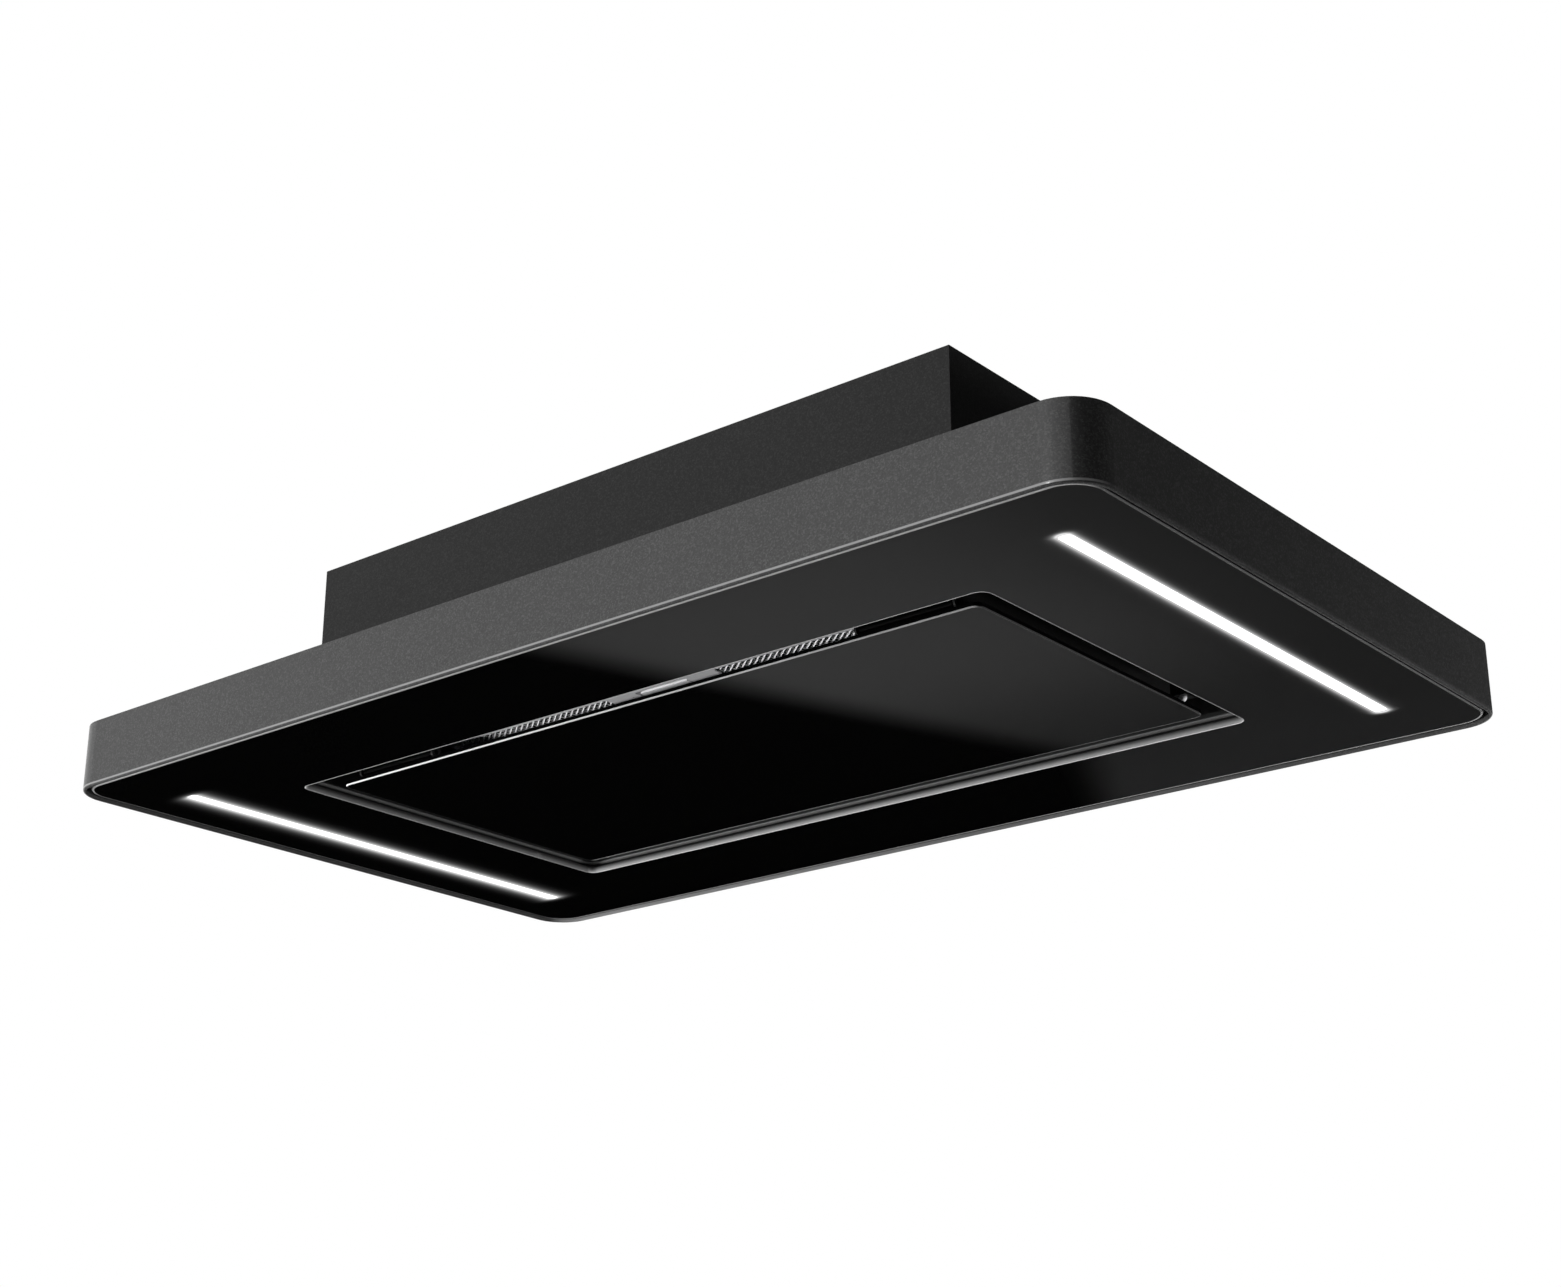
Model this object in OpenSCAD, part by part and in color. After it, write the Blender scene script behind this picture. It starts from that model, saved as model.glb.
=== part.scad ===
// Ceiling range hood with perimeter suction, built as separate pieces, in millimetres.
// X runs along the length, Y along the depth and Z up. The origin is the centre of the top
// face, which meets the ceiling, so the whole hood hangs at negative Z.

/* [Rim housing] */
// Length of the hood
hood_l = 1200; // [1190:10:1400]
// Depth of the hood
hood_d = 700; // [680:10:900]
// Height of the visible rim
rim_h = 68; // [64:1:100]
// Outside corner radius of the rim
corner_r = 38; // [34:1:60]
// Sheet thickness of the rim
rim_t = 1.2; // [1:0.1:2.5]
// Thickness of the folded hem on the lower edge
hem_t = 3; // [2.2:0.1:4]
// Radius inside the hem's fold
hem_in_r = 0.6; // [0.3:0.1:0.9]
// Width of the flange on top of the rim
rim_flange_w = 16; // [10:1:24]
// Thickness of the top plate
plate_t = 1; // [0.8:0.1:3]
// Depth of the top plate's turned-down edge
plate_lip_h = 18; // [8:1:24]

/* [Motor box] */
// Length of the motor box
box_l = 778; // [770:1:900]
// Depth of the motor box
box_d = 429; // [424:1:500]
// Height of the motor box above the rim
box_h = 158; // [156:1:200]
// Sheet thickness of the motor box
box_t = 1; // [0.8:0.1:2]
// Width of the motor box's lower flange
box_flange_w = 18; // [14:1:22]
// Distance from the motor box's ends to the ceiling bolts
bolt_inset_x = 39; // [30:1:60]
// Distance from the motor box's long walls to the ceiling bolts
bolt_inset_y = 39.5; // [30:0.5:45]
// Diameter of the ceiling bolt holes
bolt_hole_d = 9; // [7:0.5:11]

/* [Bottom glass] */
// Thickness of the bottom glass
glass_t = 6; // [4:0.5:8]
// Height of the glass face above the rim's lower edge
glass_recess = 2.6; // [1:0.1:5]
// Gap between the hem and the glass
glass_gap = 4.3; // [2:0.1:7]
// Width of the bevel around the glass
glass_bevel = 1.6; // [0.5:0.1:2.5]
// Width of glass at each end of the opening
end_w = 188; // [180:1:200]
// Width of glass along each side of the opening
side_w = 142; // [135:1:150]
// Corner radius of the opening
open_r = 10; // [6:0.5:20]
// Ground edge around the opening
open_bevel = 0.8; // [0.3:0.1:1.5]
// Thickness of the bonding seal above the glass
seal_t = 4; // [2:0.5:6]
// Width of the bonding seal
seal_w = 12; // [8:1:16]
// Distance from a glass edge to the seal
seal_set = 8; // [4:1:10]

/* [Recess] */
// Sheet thickness of the glass carrier and the recess walls
carrier_t = 1.2; // [1:0.1:2]
// Outer radius of the rolled foot of the recess walls
bend_r = 3.5; // [2.5:0.1:5]
// Step from the edge of the glass to the recess wall
open_set = 1; // [0.5:0.1:3]
// Height from the carrier to the filter deck
recess_h = 24.6; // [22:0.1:26]
// Height of the carrier's turned-up outer edge
carrier_lip_h = 12; // [6:1:16]
// Sheet thickness of the filter deck
deck_t = 1.2; // [1:0.1:2]
// Height of the deck's turned-up edge
deck_lip_h = 8; // [5:1:12]

/* [Suction panel] */
// Width of the suction slot at each end of the panel
end_slot = 26; // [22:0.5:32]
// Width of the suction slot along each side of the panel
side_slot = 29.5; // [26:0.5:34]
// Corner radius of the suction panel
panel_r = 9; // [5:0.5:16]
// Thickness of the panel's glass
panel_t = 4.5; // [4:0.5:6]
// Height of the panel's face above the bottom glass's face
panel_recess = 3; // [1:0.1:5]
// Ground edge around the panel
panel_bevel = 0.7; // [0.3:0.1:1.2]
// Distance from the panel's ends to the drip tray
tray_inset_x = 16; // [12:1:30]
// Distance from the panel's long edges to the drip tray
tray_inset_y = 22.5; // [21.5:0.5:36]
// Height of the drip tray
tray_h = 10; // [6:0.5:12]
// Sheet thickness of the drip tray
tray_t = 1.2; // [0.8:0.1:2]
// Height of the beads pressed in the tray
bead_h = 2; // [1:0.5:3]
// Width of the beads pressed in the tray
bead_w = 16; // [10:1:24]

/* [Panel hinges and catches] */
// Distance from a panel end to the middle of its hinge
hinge_inset = 76; // [60:1:120]
// Length of a hinge leaf
hinge_l = 96; // [60:1:100]
// Thickness of a hinge leaf
leaf_t = 2; // [1.5:0.1:2.5]
// Distance from the panel's edge to the leaf
leaf_inset = 1.5; // [0.5:0.1:3]
// Radius of the hinge pin
pin_r = 2.5; // [1.5:0.1:2.8]
// Radius of the hinge barrel
barrel_r = 4.5; // [4:0.1:5]
// Distance from the panel's edge to the hinge axis
axis_inset = 6.5; // [5.5:0.1:8]
// Thickness of the hinge bracket
bracket_t = 2; // [1.5:0.1:3]
// Depth of the hinge bracket's top plate
bracket_d = 26; // [20:1:28]
// Distance from a panel end to its catch stud
stud_inset_x = 11; // [9:0.5:14]
// Distance from the panel's far edge to its catch studs
stud_inset_y = 18.5; // [15:0.5:22]
// Height of the ball's centre above the panel's glass
ball_rise = 10.9; // [8:0.1:12]
// Radius of the ball
ball_r = 4; // [3:0.1:4.5]
// Side of the catch socket
socket_w = 16; // [13:0.5:18]

/* [Lights] */
// Distance from the hood's long sides to the ends of a light window
led_end_inset = 89; // [80:1:110]
// Width of a light window
led_w = 14; // [10:0.5:18]
// Distance from the hood's end to a light window
led_inset = 79; // [70:1:90]
// Thickness of the diffuser's lip
diffuser_lip_t = 1.5; // [1:0.1:2.5]
// Reach of the diffuser's lip past its window
diffuser_lip_w = 2.2; // [1:0.1:3]
// Wall thickness of the light channel
channel_t = 1.5; // [1:0.1:2]
// Height of the light channel
channel_h = 16; // [14:0.5:22]
// Width of the channel's foot
channel_foot_w = 6; // [4:0.5:9]
// Width of the light board
board_w = 12; // [8:0.5:14]
// Number of light chips on a board
chip_n = 28; // [10:1:40]

/* [Grease filter] */
// Distance from the panel's ends to the filter cassette
filter_end_inset = 106; // [90:1:108]
// Distance from the panel's long sides to the filter cassette
filter_side_inset = 28.5; // [26:0.5:34]
// Thickness of the filter cassette
filter_t = 12; // [11:0.5:14]
// Distance the cassette hangs below the deck
filter_drop = 1.5; // [1:0.1:2.5]
// Gap around the cassette
filter_gap = 3; // [2:0.5:4]
// Sheet thickness of the cassette
filter_sheet_t = 1; // [0.8:0.1:1.2]
// Width of the cassette's border round the mesh windows
window_border = 9; // [8:0.5:14]
// Width of the plain band between the mesh windows
band_w = 132; // [130:1:136]
// Diamonds in a mesh window along the length
mesh_nx = 14; // [6:1:14]
// Diamonds in a mesh window along the depth
mesh_ny = 10; // [6:1:10]
// Width of a mesh strand
strand_w = 2.4; // [1.5:0.1:4]
// Length of the finger bar on the latch
bar_l = 57; // [40:1:60]
// Width of the finger bar
bar_w = 7; // [5:0.5:8]
// Depth of the finger cup
cup_h = 6; // [4.5:0.1:6.5]
// Travel of the latch
latch_travel = 7; // [6.5:0.1:8]
// Width of the latch bolt
bolt_w = 24; // [16:1:30]

/* [Blower] */
// Place of the blower along the length
blower_x = 60; // [50:1:64]
// Place of the blower along the depth
blower_y = -40; // [-55:1:-30]
// Smallest inside radius of the scroll
scroll_r0 = 108; // [105:1:110]
// Largest outside radius of the scroll
scroll_r1 = 178; // [170:1:182]
// Height of the scroll
scroll_h = 111.5; // [109:0.5:113]
// Wall thickness of the scroll
scroll_t = 1; // [0.8:0.1:2]
// Outside radius of the impeller
impeller_r = 100; // [92:1:101]
// Radius of the impeller's eye
eye_r = 82; // [80:1:84]
// Height of the impeller
impeller_h = 80; // [70:1:84]
// Number of blades
blade_n = 36; // [24:1:42]
// Thickness of a blade
blade_t = 1; // [0.8:0.1:1.4]
// Radius of a blade's curve
blade_curve_r = 15; // [14.5:0.5:16]
// Throat radius of the inlet ring
throat_r = 72; // [64:1:73]
// Radius of the inlet ring's flare
flare_r = 12; // [10:0.5:13]
// Radius of the motor
motor_r = 48; // [40:1:50]
// Height of the motor
motor_h = 48; // [40:1:50]
// Radius of the motor shaft
shaft_r = 5; // [4:0.5:6]
// Height of the rubber mounts
mount_h = 8; // [6:0.5:9]
// Radius of the rubber mounts
mount_r = 9; // [8:0.5:11]

/* [Duct outlet] */
// Outside radius of the duct collar
collar_r = 74.5; // [70:0.5:75]
// Wall thickness of the duct collar
collar_t = 2; // [1.5:0.1:2.5]
// Length of the collar outside the motor box
collar_out_l = 60; // [50:1:80]
// Length of the collar inside the motor box
collar_in_l = 25; // [20:1:30]
// Height of the collar's centre below the ceiling
collar_drop = 80; // [79:0.5:81]
// Thickness of the damper flaps
flap_t = 1.2; // [0.8:0.1:1.4]
// Radius of the damper pin
damper_pin_r = 1.5; // [1:0.1:1.6]
// Distance from the motor box's wall to the damper pin
damper_set = 11; // [8:0.5:14]

/* [Electrics] */
// Gap between the control box and its neighbours
control_gap = 3; // [2:0.5:6]
// Depth of the control box
control_d = 190; // [150:1:200]
// Height of the control box's tray
control_tray_h = 20; // [16:1:26]
// Height of the control box's cover
control_cover_h = 22; // [16:1:40]
// Wall thickness of the control box
control_t = 2; // [1.5:0.1:3]
// Length of the light driver's case
supply_l = 180; // [150:1:220]
// Depth of the light driver
supply_d = 50; // [40:1:60]
// Height of the light driver
supply_h = 30; // [22:1:36]
// Radius of the motor capacitor
capacitor_r = 17.5; // [14:0.5:20]
// Length of the motor capacitor
capacitor_l = 75; // [60:1:90]
// Bore radius of the cable gland
gland_bore_r = 5; // [3.5:0.1:6]
// Thread radius of the cable gland
gland_r = 10; // [9:0.5:11]

/* [Fits] */
// Clearance where one piece slips into another
fit = 0.3; // [0.2:0.05:0.5]
// Clearance of a pin or shaft in its bore
pin_fit = 0.05; // [0.02:0.01:0.1]
// Radius of the screws
screw_r = 2; // [1.5:0.1:2.4]
// Height of a screw head
head_h = 2; // [1.5:0.1:2.6]

/* [Hidden] */
$fn = 96;
// Overrun of every cut
over = 1;
// Heights, from the ceiling down to the rim and up again to the deck
rim_top_z = -box_h;
plate_top_z = rim_top_z - rim_t;
plate_bot_z = plate_top_z - plate_t;
rim_bot_z = rim_top_z - rim_h;
glass_bot_z = rim_bot_z + glass_recess;
glass_top_z = glass_bot_z + glass_t;
carrier_z = glass_top_z + seal_t;
carrier_top_z = carrier_z + carrier_t;
deck_z = carrier_z + recess_h;
deck_top_z = deck_z + deck_t;
panel_bot_z = glass_bot_z + panel_recess;
panel_top_z = panel_bot_z + panel_t;
// The hem reaches up to the carrier, which rests on it
hem_h = carrier_z - rim_bot_z;
hem_out_r = hem_t - hem_in_r;
// Opening, panel and filter follow the hood's own size
open_l = hood_l - 2 * end_w;
open_d = hood_d - 2 * side_w;
panel_l = open_l - 2 * end_slot;
panel_d = open_d - 2 * side_slot;
filter_l = panel_l - 2 * filter_end_inset;
filter_d = panel_d - 2 * filter_side_inset;
window_l = (filter_l - band_w) / 2 - window_border;
window_d = filter_d - 2 * window_border - filter_gap * 2;
hinge_x = panel_l / 2 - hinge_inset;
led_l = hood_d - 2 * led_end_inset;
led_x = hood_l / 2 - led_inset;
bolt_dx = box_l - 2 * bolt_inset_x;
bolt_dy = box_d - 2 * bolt_inset_y;
// Outlines inside the rim
inner_l = hood_l - 2 * (rim_t + fit);
inner_d = hood_d - 2 * (rim_t + fit);
inner_r = corner_r - rim_t - fit;
glass_l = hood_l - 2 * (hem_t + glass_gap);
glass_d = hood_d - 2 * (hem_t + glass_gap);
glass_r = corner_r - hem_t - glass_gap;
// Recess walls and deck
recess_l = open_l + 2 * open_set;
recess_d = open_d + 2 * open_set;
recess_r = open_r + open_set;
deck_l = recess_l + 2 * (carrier_t + fit + deck_t);
deck_d = recess_d + 2 * (carrier_t + fit + deck_t);
deck_r = recess_r + carrier_t + fit + deck_t;
// Lights
diffuser_recess = 0.3;
nose_l = led_l - 2 * fit;
nose_w = led_w - 2 * fit;
lip_l = led_l + 2 * diffuser_lip_w;
lip_w = led_w + 2 * diffuser_lip_w;
channel_w = lip_w + 2 * (fit + channel_t);
channel_l = lip_l + 2 * (fit + channel_t);
channel_top_z = glass_top_z + channel_h;
board_t = 1.6;
chip_w = 5;
chip_t = 1.4;
window_r = 1.5;
// Tray
tray_l = panel_l - 2 * tray_inset_x;
tray_d = panel_d - 2 * tray_inset_y;
tray_r = 6;
tab_w = 18;
tab_run = 26;
bead_share = 0.84;
bead_places = [-0.3, 0, 0.3];
bead_r = (bead_w * bead_w / 4 + bead_h * bead_h) / (2 * bead_h);
// Hinge and catch
axis_y = -panel_d / 2 + axis_inset;
axis_z = panel_top_z + leaf_t + barrel_r;
leaf_y0 = -panel_d / 2 + leaf_inset;
leaf_y1 = -tray_d / 2 - fit;
side_gap = 2;
ear_r = axis_z - panel_top_z - 0.5 * leaf_t / 2;
stud_x = panel_l / 2 - stud_inset_x;
stud_y = panel_d / 2 - stud_inset_y;
ball_z = panel_top_z + ball_rise;
stud_base_r = 5;
stud_base_h = 1.5;
stem_r = 2;
socket_slit = 1.2;
socket_bore_r = ball_r + fit;
// Filter
filter_bot_z = deck_z - filter_drop;
filter_top_z = filter_bot_z + filter_t;
filter_r = 4;
window_x = band_w / 2 + window_l / 2;
mesh_lap = 3.5;
mesh_t = filter_t - 2 * filter_sheet_t - fit;
divider_x = band_w / 2 - mesh_lap - fit - filter_sheet_t / 2;
cell_x = window_l / mesh_nx;
cell_y = window_d / mesh_ny;
cup_side_gap = 3.5;
cup_end_gap = 5;
cup_l = bar_l + 2 * cup_side_gap;
cup_d = bar_w + latch_travel + 2 * cup_end_gap;
cup_top_z = filter_bot_z + cup_h;
bar_inset = 22.5;
bar_y = -filter_d / 2 + bar_inset;
cup_y = bar_y + latch_travel / 2;
neck_l = 20;
neck_w = 3;
latch_plate_t = 1.5;
latch_plate_z = cup_top_z + filter_sheet_t + fit / 2;
bolt_reach = 9;
seat_gap = 0.2;
tab_reach = 8;
tab_l = 40;
tab_x = filter_l / 2 - window_border - window_l * 0.6;
t_slot_w = 2;
t_slot_l = 9;
t_slot_x = -cup_l / 2 - 0.9 * t_slot_l;
// Blower
tongue_a = 146;
turn_end_a = 450;
spiral_steps = 42;
tongue_y = scroll_r0 * sin(tongue_a);
scroll_floor_z = plate_top_z + mount_h;
scroll_top_z = scroll_floor_z + scroll_h;
running_gap = 5;
impeller_z = scroll_floor_z + scroll_t + running_gap;
impeller_top_z = impeller_z + impeller_h;
disc_t = 1.5;
shroud_h = 5;
shroud_w = 2;
boss_r = 12;
boss_h = 20;
motor_z = impeller_top_z + running_gap;
motor_flange_r = motor_r + 13;
motor_flange_t = 3;
shaft_end_gap = 6;
vent_n = 12;
vent_w = 5;
vent_h = 14;
ring_flange_w = 11;
ring_lip_h = 4;
plate_hole_r = throat_r + flare_r + 4;
foam_w = 12;
foam_gap = 2;
foot_angles = [172, 235, 300, 365];
foot_reach = 10;
foot_r = 13;
mount_pitch_r = foot_reach;
// Duct outlet
wall_x = -box_l / 2;
collar_in_x = wall_x + collar_in_l;
collar_out_x = wall_x - collar_out_l;
collar_y = blower_y + (scroll_r1 + tongue_y - scroll_t) / 2;
collar_z = -collar_drop;
collar_flange_w = 2.9;
collar_flange_t = 2;
adaptor_l = 64;
throat_end_x = collar_in_x + adaptor_l;
slice = 0.5;
damper_x = wall_x + damper_set;
knuckle_r = damper_pin_r + 1.7;
knuckle_l = 20;
knuckle_gap = 0.4;
flap_gap = 0.8;
flap_r = collar_r - collar_t - flap_gap;
flap_root = knuckle_r + 0.4;
knuckle_places = [-60, -20, 20];
// Electrics
clip_t = 1.5;
clip_w = 20;
clip_foot = 14;
control_x0 = blower_x + spiral_r(turn_end_a - 90) + foot_reach + foot_r + control_gap;
control_x1 = box_l / 2 - box_flange_w - control_gap;
control_l = control_x1 - control_x0;
control_x = (control_x0 + control_x1) / 2;
control_y = -control_d / 2 + 2 * foot_r + foot_reach;
control_r = 5;
standoff_h = 5;
standoff_r = 4;
pcb_t = 1.6;
pcb_gap = 3;
driver_set = 6;
driver_y = (glass_d + recess_d) / 4 + driver_set;
driver_r = 4;
driver_ear_w = 14;
driver_ear_t = 3;
capacitor_x = control_x - control_gap;
capacitor_y = control_y + control_d / 2 + capacitor_r + 2 * (clip_foot + clip_t) + control_gap;
gland_inset = 80;
gland_x = box_l / 2 - gland_inset;
gland_z = -62;
gland_hex_r = 14;
gland_hex_h = 6;
gland_dome_r = 11.5;
gland_dome_h = 14;
gland_in_l = 9;
gland_nut_h = 5;
// Screws
driver_screw_x = supply_l / 2 + driver_ear_w / 2;
head_r = screw_r * 1.9;
hole_r = screw_r + fit / 2;
shank_past = 3;
flange_screw_inset = 40;
flange_screws = [for (x = [-1, 0, 1], y = [-1, 1])
    [x * (box_l / 2 - flange_screw_inset), y * (box_d / 2 - box_flange_w / 2)]];
bracket_screw_inset = 14;
bracket_screw_x = hinge_l / 2 - bracket_screw_inset;

// A box between two opposite corners
module span(low, high) {
    translate(low) cube(high - low);
}

// A flat rectangle with round corners, centred
module rounded_rect(l, d, r) {
    square([l, d - 2 * r], center = true);
    square([l - 2 * r, d], center = true);
    for (x = [-1, 1], y = [-1, 1]) translate([x * (l / 2 - r), y * (d / 2 - r)]) circle(r = r);
}

// A plate with round corners, from height z up
module slab(l, d, r, z, t) {
    translate([0, 0, z]) linear_extrude(t) rounded_rect(l, d, r);
}

// A flat ring, w wide inside the outline l by d
module flat_ring(l, d, r, w, z, t) {
    translate([0, 0, z]) linear_extrude(t) difference() {
        rounded_rect(l, d, r);
        rounded_rect(l - 2 * w, d - 2 * w, r - w);
    }
}

// Carries a section around a rounded rectangle: x is outwards from the outline, y is height
module around(l, d, r) {
    for (a = [0, 180]) {
        rotate([0, 0, a]) translate([l / 2, d / 2 - r, 0]) rotate([90, 0, 0])
            linear_extrude(d - 2 * r) children();
        rotate([0, 0, a + 90]) translate([d / 2, l / 2 - r, 0]) rotate([90, 0, 0])
            linear_extrude(l - 2 * r) children();
        rotate([0, 0, a]) translate([l / 2 - r, d / 2 - r, 0])
            rotate_extrude(angle = 90) translate([r, 0]) children();
        rotate([0, 0, a + 90]) translate([d / 2 - r, l / 2 - r, 0])
            rotate_extrude(angle = 90) translate([r, 0]) children();
    }
}

// A bevel's cut in section, its corner at the outline and at height z, open downwards
module bevel_cut(w, z) {
    polygon([[-w, z - over], [over, z - over], [over, z + w + over], [0, z + w], [-w, z]]);
}

// A tube or a disc along Z
module tube(r, inner_r, z, h) {
    translate([0, 0, z]) difference() {
        cylinder(r = r, h = h);
        translate([0, 0, -over]) cylinder(r = inner_r, h = h + 2 * over);
    }
}

// A pan-head screw that points down, its head resting on height z
module screw_down(z, l) {
    translate([0, 0, z]) cylinder(r = head_r, h = head_h);
    translate([0, 0, z - l]) cylinder(r = screw_r, h = l + head_h / 2);
}

// The same screw pointing up, its head hanging below height z
module screw_up(z, l) {
    mirror([0, 0, 1]) screw_down(-z, l);
}

// The rim: a folded sheet with a top flange and a rounded hem along its lower edge
module rim_section() {
    translate([-rim_t, rim_bot_z + hem_h / 2]) square([rim_t, rim_h - hem_h / 2]);
    translate([-rim_flange_w, rim_top_z - rim_t]) square([rim_flange_w, rim_t]);
    intersection() {
        translate([-hem_t, rim_bot_z]) square([hem_t, hem_h]);
        union() {
            translate([-hem_out_r, rim_bot_z + hem_out_r]) circle(r = hem_out_r);
            translate([-hem_t + hem_in_r, rim_bot_z + hem_in_r]) circle(r = hem_in_r);
            translate([-hem_t, rim_bot_z + hem_in_r]) square([hem_in_r, hem_h]);
            translate([-hem_t, rim_bot_z + hem_out_r]) square([hem_t, hem_h]);
        }
    }
}
module rim_housing() {
    color([0.20, 0.20, 0.21]) around(hood_l, hood_d, corner_r) rim_section();
}

// The plate that closes the housing on top, hangs the rim and carries the blower
module top_plate() {
    color([0.24, 0.24, 0.25]) difference() {
        slab(inner_l, inner_d, inner_r, plate_bot_z - plate_lip_h, plate_t + plate_lip_h);
        slab(inner_l - 2 * plate_t, inner_d - 2 * plate_t, inner_r - plate_t,
            plate_bot_z - plate_lip_h - over, plate_lip_h + over);
        at_blower() translate([0, 0, plate_bot_z - over]) cylinder(r = plate_hole_r, h = plate_t + 2 * over);
        for (p = flange_screws) translate([p.x, p.y, plate_bot_z - over]) cylinder(r = hole_r, h = plate_t + 2 * over);
        at_feet() translate([0, 0, plate_bot_z - over]) cylinder(r = hole_r, h = plate_t + 2 * over);
    }
}

// The motor box: a top sheet with the ceiling bolt holes, and four walls that turn in below
module box_top() {
    color([0.17, 0.17, 0.18]) difference() {
        span([-box_l / 2, -box_d / 2, -box_t], [box_l / 2, box_d / 2, 0]);
        for (x = [-1, 1], y = [-1, 1]) translate([x * bolt_dx / 2, y * bolt_dy / 2, -box_t - over])
            cylinder(d = bolt_hole_d, h = box_t + 2 * over);
    }
}
module long_wall() {
    difference() {
        union() {
            span([-box_l / 2, box_d / 2 - box_t, plate_top_z], [box_l / 2, box_d / 2, -box_t]);
            span([-box_l / 2 + box_t, box_d / 2 - box_flange_w, plate_top_z],
                [box_l / 2 - box_t, box_d / 2, plate_top_z + box_t]);
        }
        for (p = flange_screws) translate([p.x, p.y, plate_top_z - over]) cylinder(r = hole_r, h = box_t + 2 * over);
    }
}
module end_wall() {
    span([box_l / 2 - box_t, -box_d / 2 + box_t, plate_top_z], [box_l / 2, box_d / 2 - box_t, -box_t]);
    span([box_l / 2 - box_flange_w, -box_d / 2 + box_flange_w, plate_top_z],
        [box_l / 2, box_d / 2 - box_flange_w, plate_top_z + box_t]);
}
module box_near_wall() {
    color([0.17, 0.17, 0.18]) rotate([0, 0, 180]) long_wall();
}
module box_far_wall() {
    color([0.17, 0.17, 0.18]) difference() {
        long_wall();
        translate([gland_x, box_d / 2 + over, gland_z]) rotate([90, 0, 0])
            cylinder(r = gland_r + fit, h = box_t + 2 * over);
    }
}
module box_left_wall() {
    color([0.17, 0.17, 0.18]) difference() {
        rotate([0, 0, 180]) end_wall();
        translate([wall_x - over, collar_y, collar_z]) rotate([0, 90, 0])
            cylinder(r = collar_r + fit, h = box_t + 2 * over);
    }
}
module box_right_wall() {
    color([0.17, 0.17, 0.18]) end_wall();
}

// The screws that join the motor box's flange to the top plate
module box_screws() {
    color([0.75, 0.75, 0.77]) for (p = flange_screws) translate([p.x, p.y, 0])
        screw_down(plate_top_z + box_t, box_t + plate_t + shank_past);
}

// The black bottom glass, with the suction opening and the two light windows
module bottom_glass() {
    color([0.05, 0.05, 0.055]) difference() {
        slab(glass_l, glass_d, glass_r, glass_bot_z, glass_t);
        slab(open_l, open_d, open_r, glass_bot_z - over, glass_t + 2 * over);
        for (s = [-1, 1]) translate([s * led_x, 0, 0])
            slab(led_w, led_l, window_r, glass_bot_z - over, glass_t + 2 * over);
        around(glass_l, glass_d, glass_r) bevel_cut(glass_bevel, glass_bot_z);
        around(open_l, open_d, open_r) mirror([1, 0]) bevel_cut(open_bevel, glass_bot_z);
    }
}

// Two rings of black bonding tape between the glass and its carrier
module glass_seal() {
    color([0.03, 0.03, 0.03]) {
        flat_ring(open_l + 2 * (seal_set + seal_w), open_d + 2 * (seal_set + seal_w),
            open_r + seal_set + seal_w, seal_w, glass_top_z, seal_t);
        flat_ring(glass_l - seal_set, glass_d - seal_set, glass_r - seal_set / 2, seal_w, glass_top_z, seal_t);
    }
}

// The recess walls: one strip with a rolled foot, folded to a frame and welded to the carrier
module wall_section() {
    translate([0, carrier_z + bend_r]) square([carrier_t, recess_h - bend_r]);
    intersection() {
        translate([0, carrier_z]) square([bend_r, bend_r]);
        translate([bend_r, carrier_z + bend_r]) difference() {
            circle(r = bend_r);
            circle(r = bend_r - carrier_t);
        }
    }
}
module recess_walls() {
    color([0.10, 0.10, 0.105]) around(recess_l, recess_d, recess_r) wall_section();
}

// The steel frame that carries the glass, with a turned-up outer edge
module glass_carrier() {
    color([0.10, 0.10, 0.105]) difference() {
        slab(inner_l, inner_d, inner_r, carrier_z, carrier_lip_h);
        slab(inner_l - 2 * carrier_t, inner_d - 2 * carrier_t, inner_r - carrier_t, carrier_top_z, carrier_lip_h);
        slab(recess_l + 2 * bend_r, recess_d + 2 * bend_r, recess_r + bend_r, carrier_z - over, carrier_t + 2 * over);
        for (s = [-1, 1]) translate([s * led_x, 0, carrier_z - over]) linear_extrude(carrier_t + 2 * over)
            square([channel_w + 2 * fit, channel_l + 2 * fit], center = true);
        for (s = [-1, 1]) translate([s * driver_screw_x, driver_y, carrier_z - over])
            cylinder(r = hole_r, h = carrier_t + 2 * over);
    }
}

// The black deck that closes the recess above and holds the grease filter
module filter_deck() {
    color([0.08, 0.08, 0.085]) difference() {
        slab(deck_l, deck_d, deck_r, deck_z, deck_t + deck_lip_h);
        slab(deck_l - 2 * deck_t, deck_d - 2 * deck_t, deck_r - deck_t, deck_top_z, deck_lip_h + over);
        slab(filter_l + 2 * filter_gap, filter_d + 2 * filter_gap, filter_r + filter_gap, deck_z - over, deck_t + 2 * over);
        for (s = [-1, 1], x = [-1, 1]) translate([s * hinge_x + x * bracket_screw_x, axis_y, deck_z - over])
            cylinder(r = hole_r, h = deck_t + 2 * over);
    }
}

// The glass of the suction panel
module suction_panel() {
    color([0.05, 0.05, 0.055]) difference() {
        slab(panel_l, panel_d, panel_r, panel_bot_z, panel_t);
        around(panel_l, panel_d, panel_r) bevel_cut(panel_bevel, panel_bot_z);
    }
}

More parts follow.
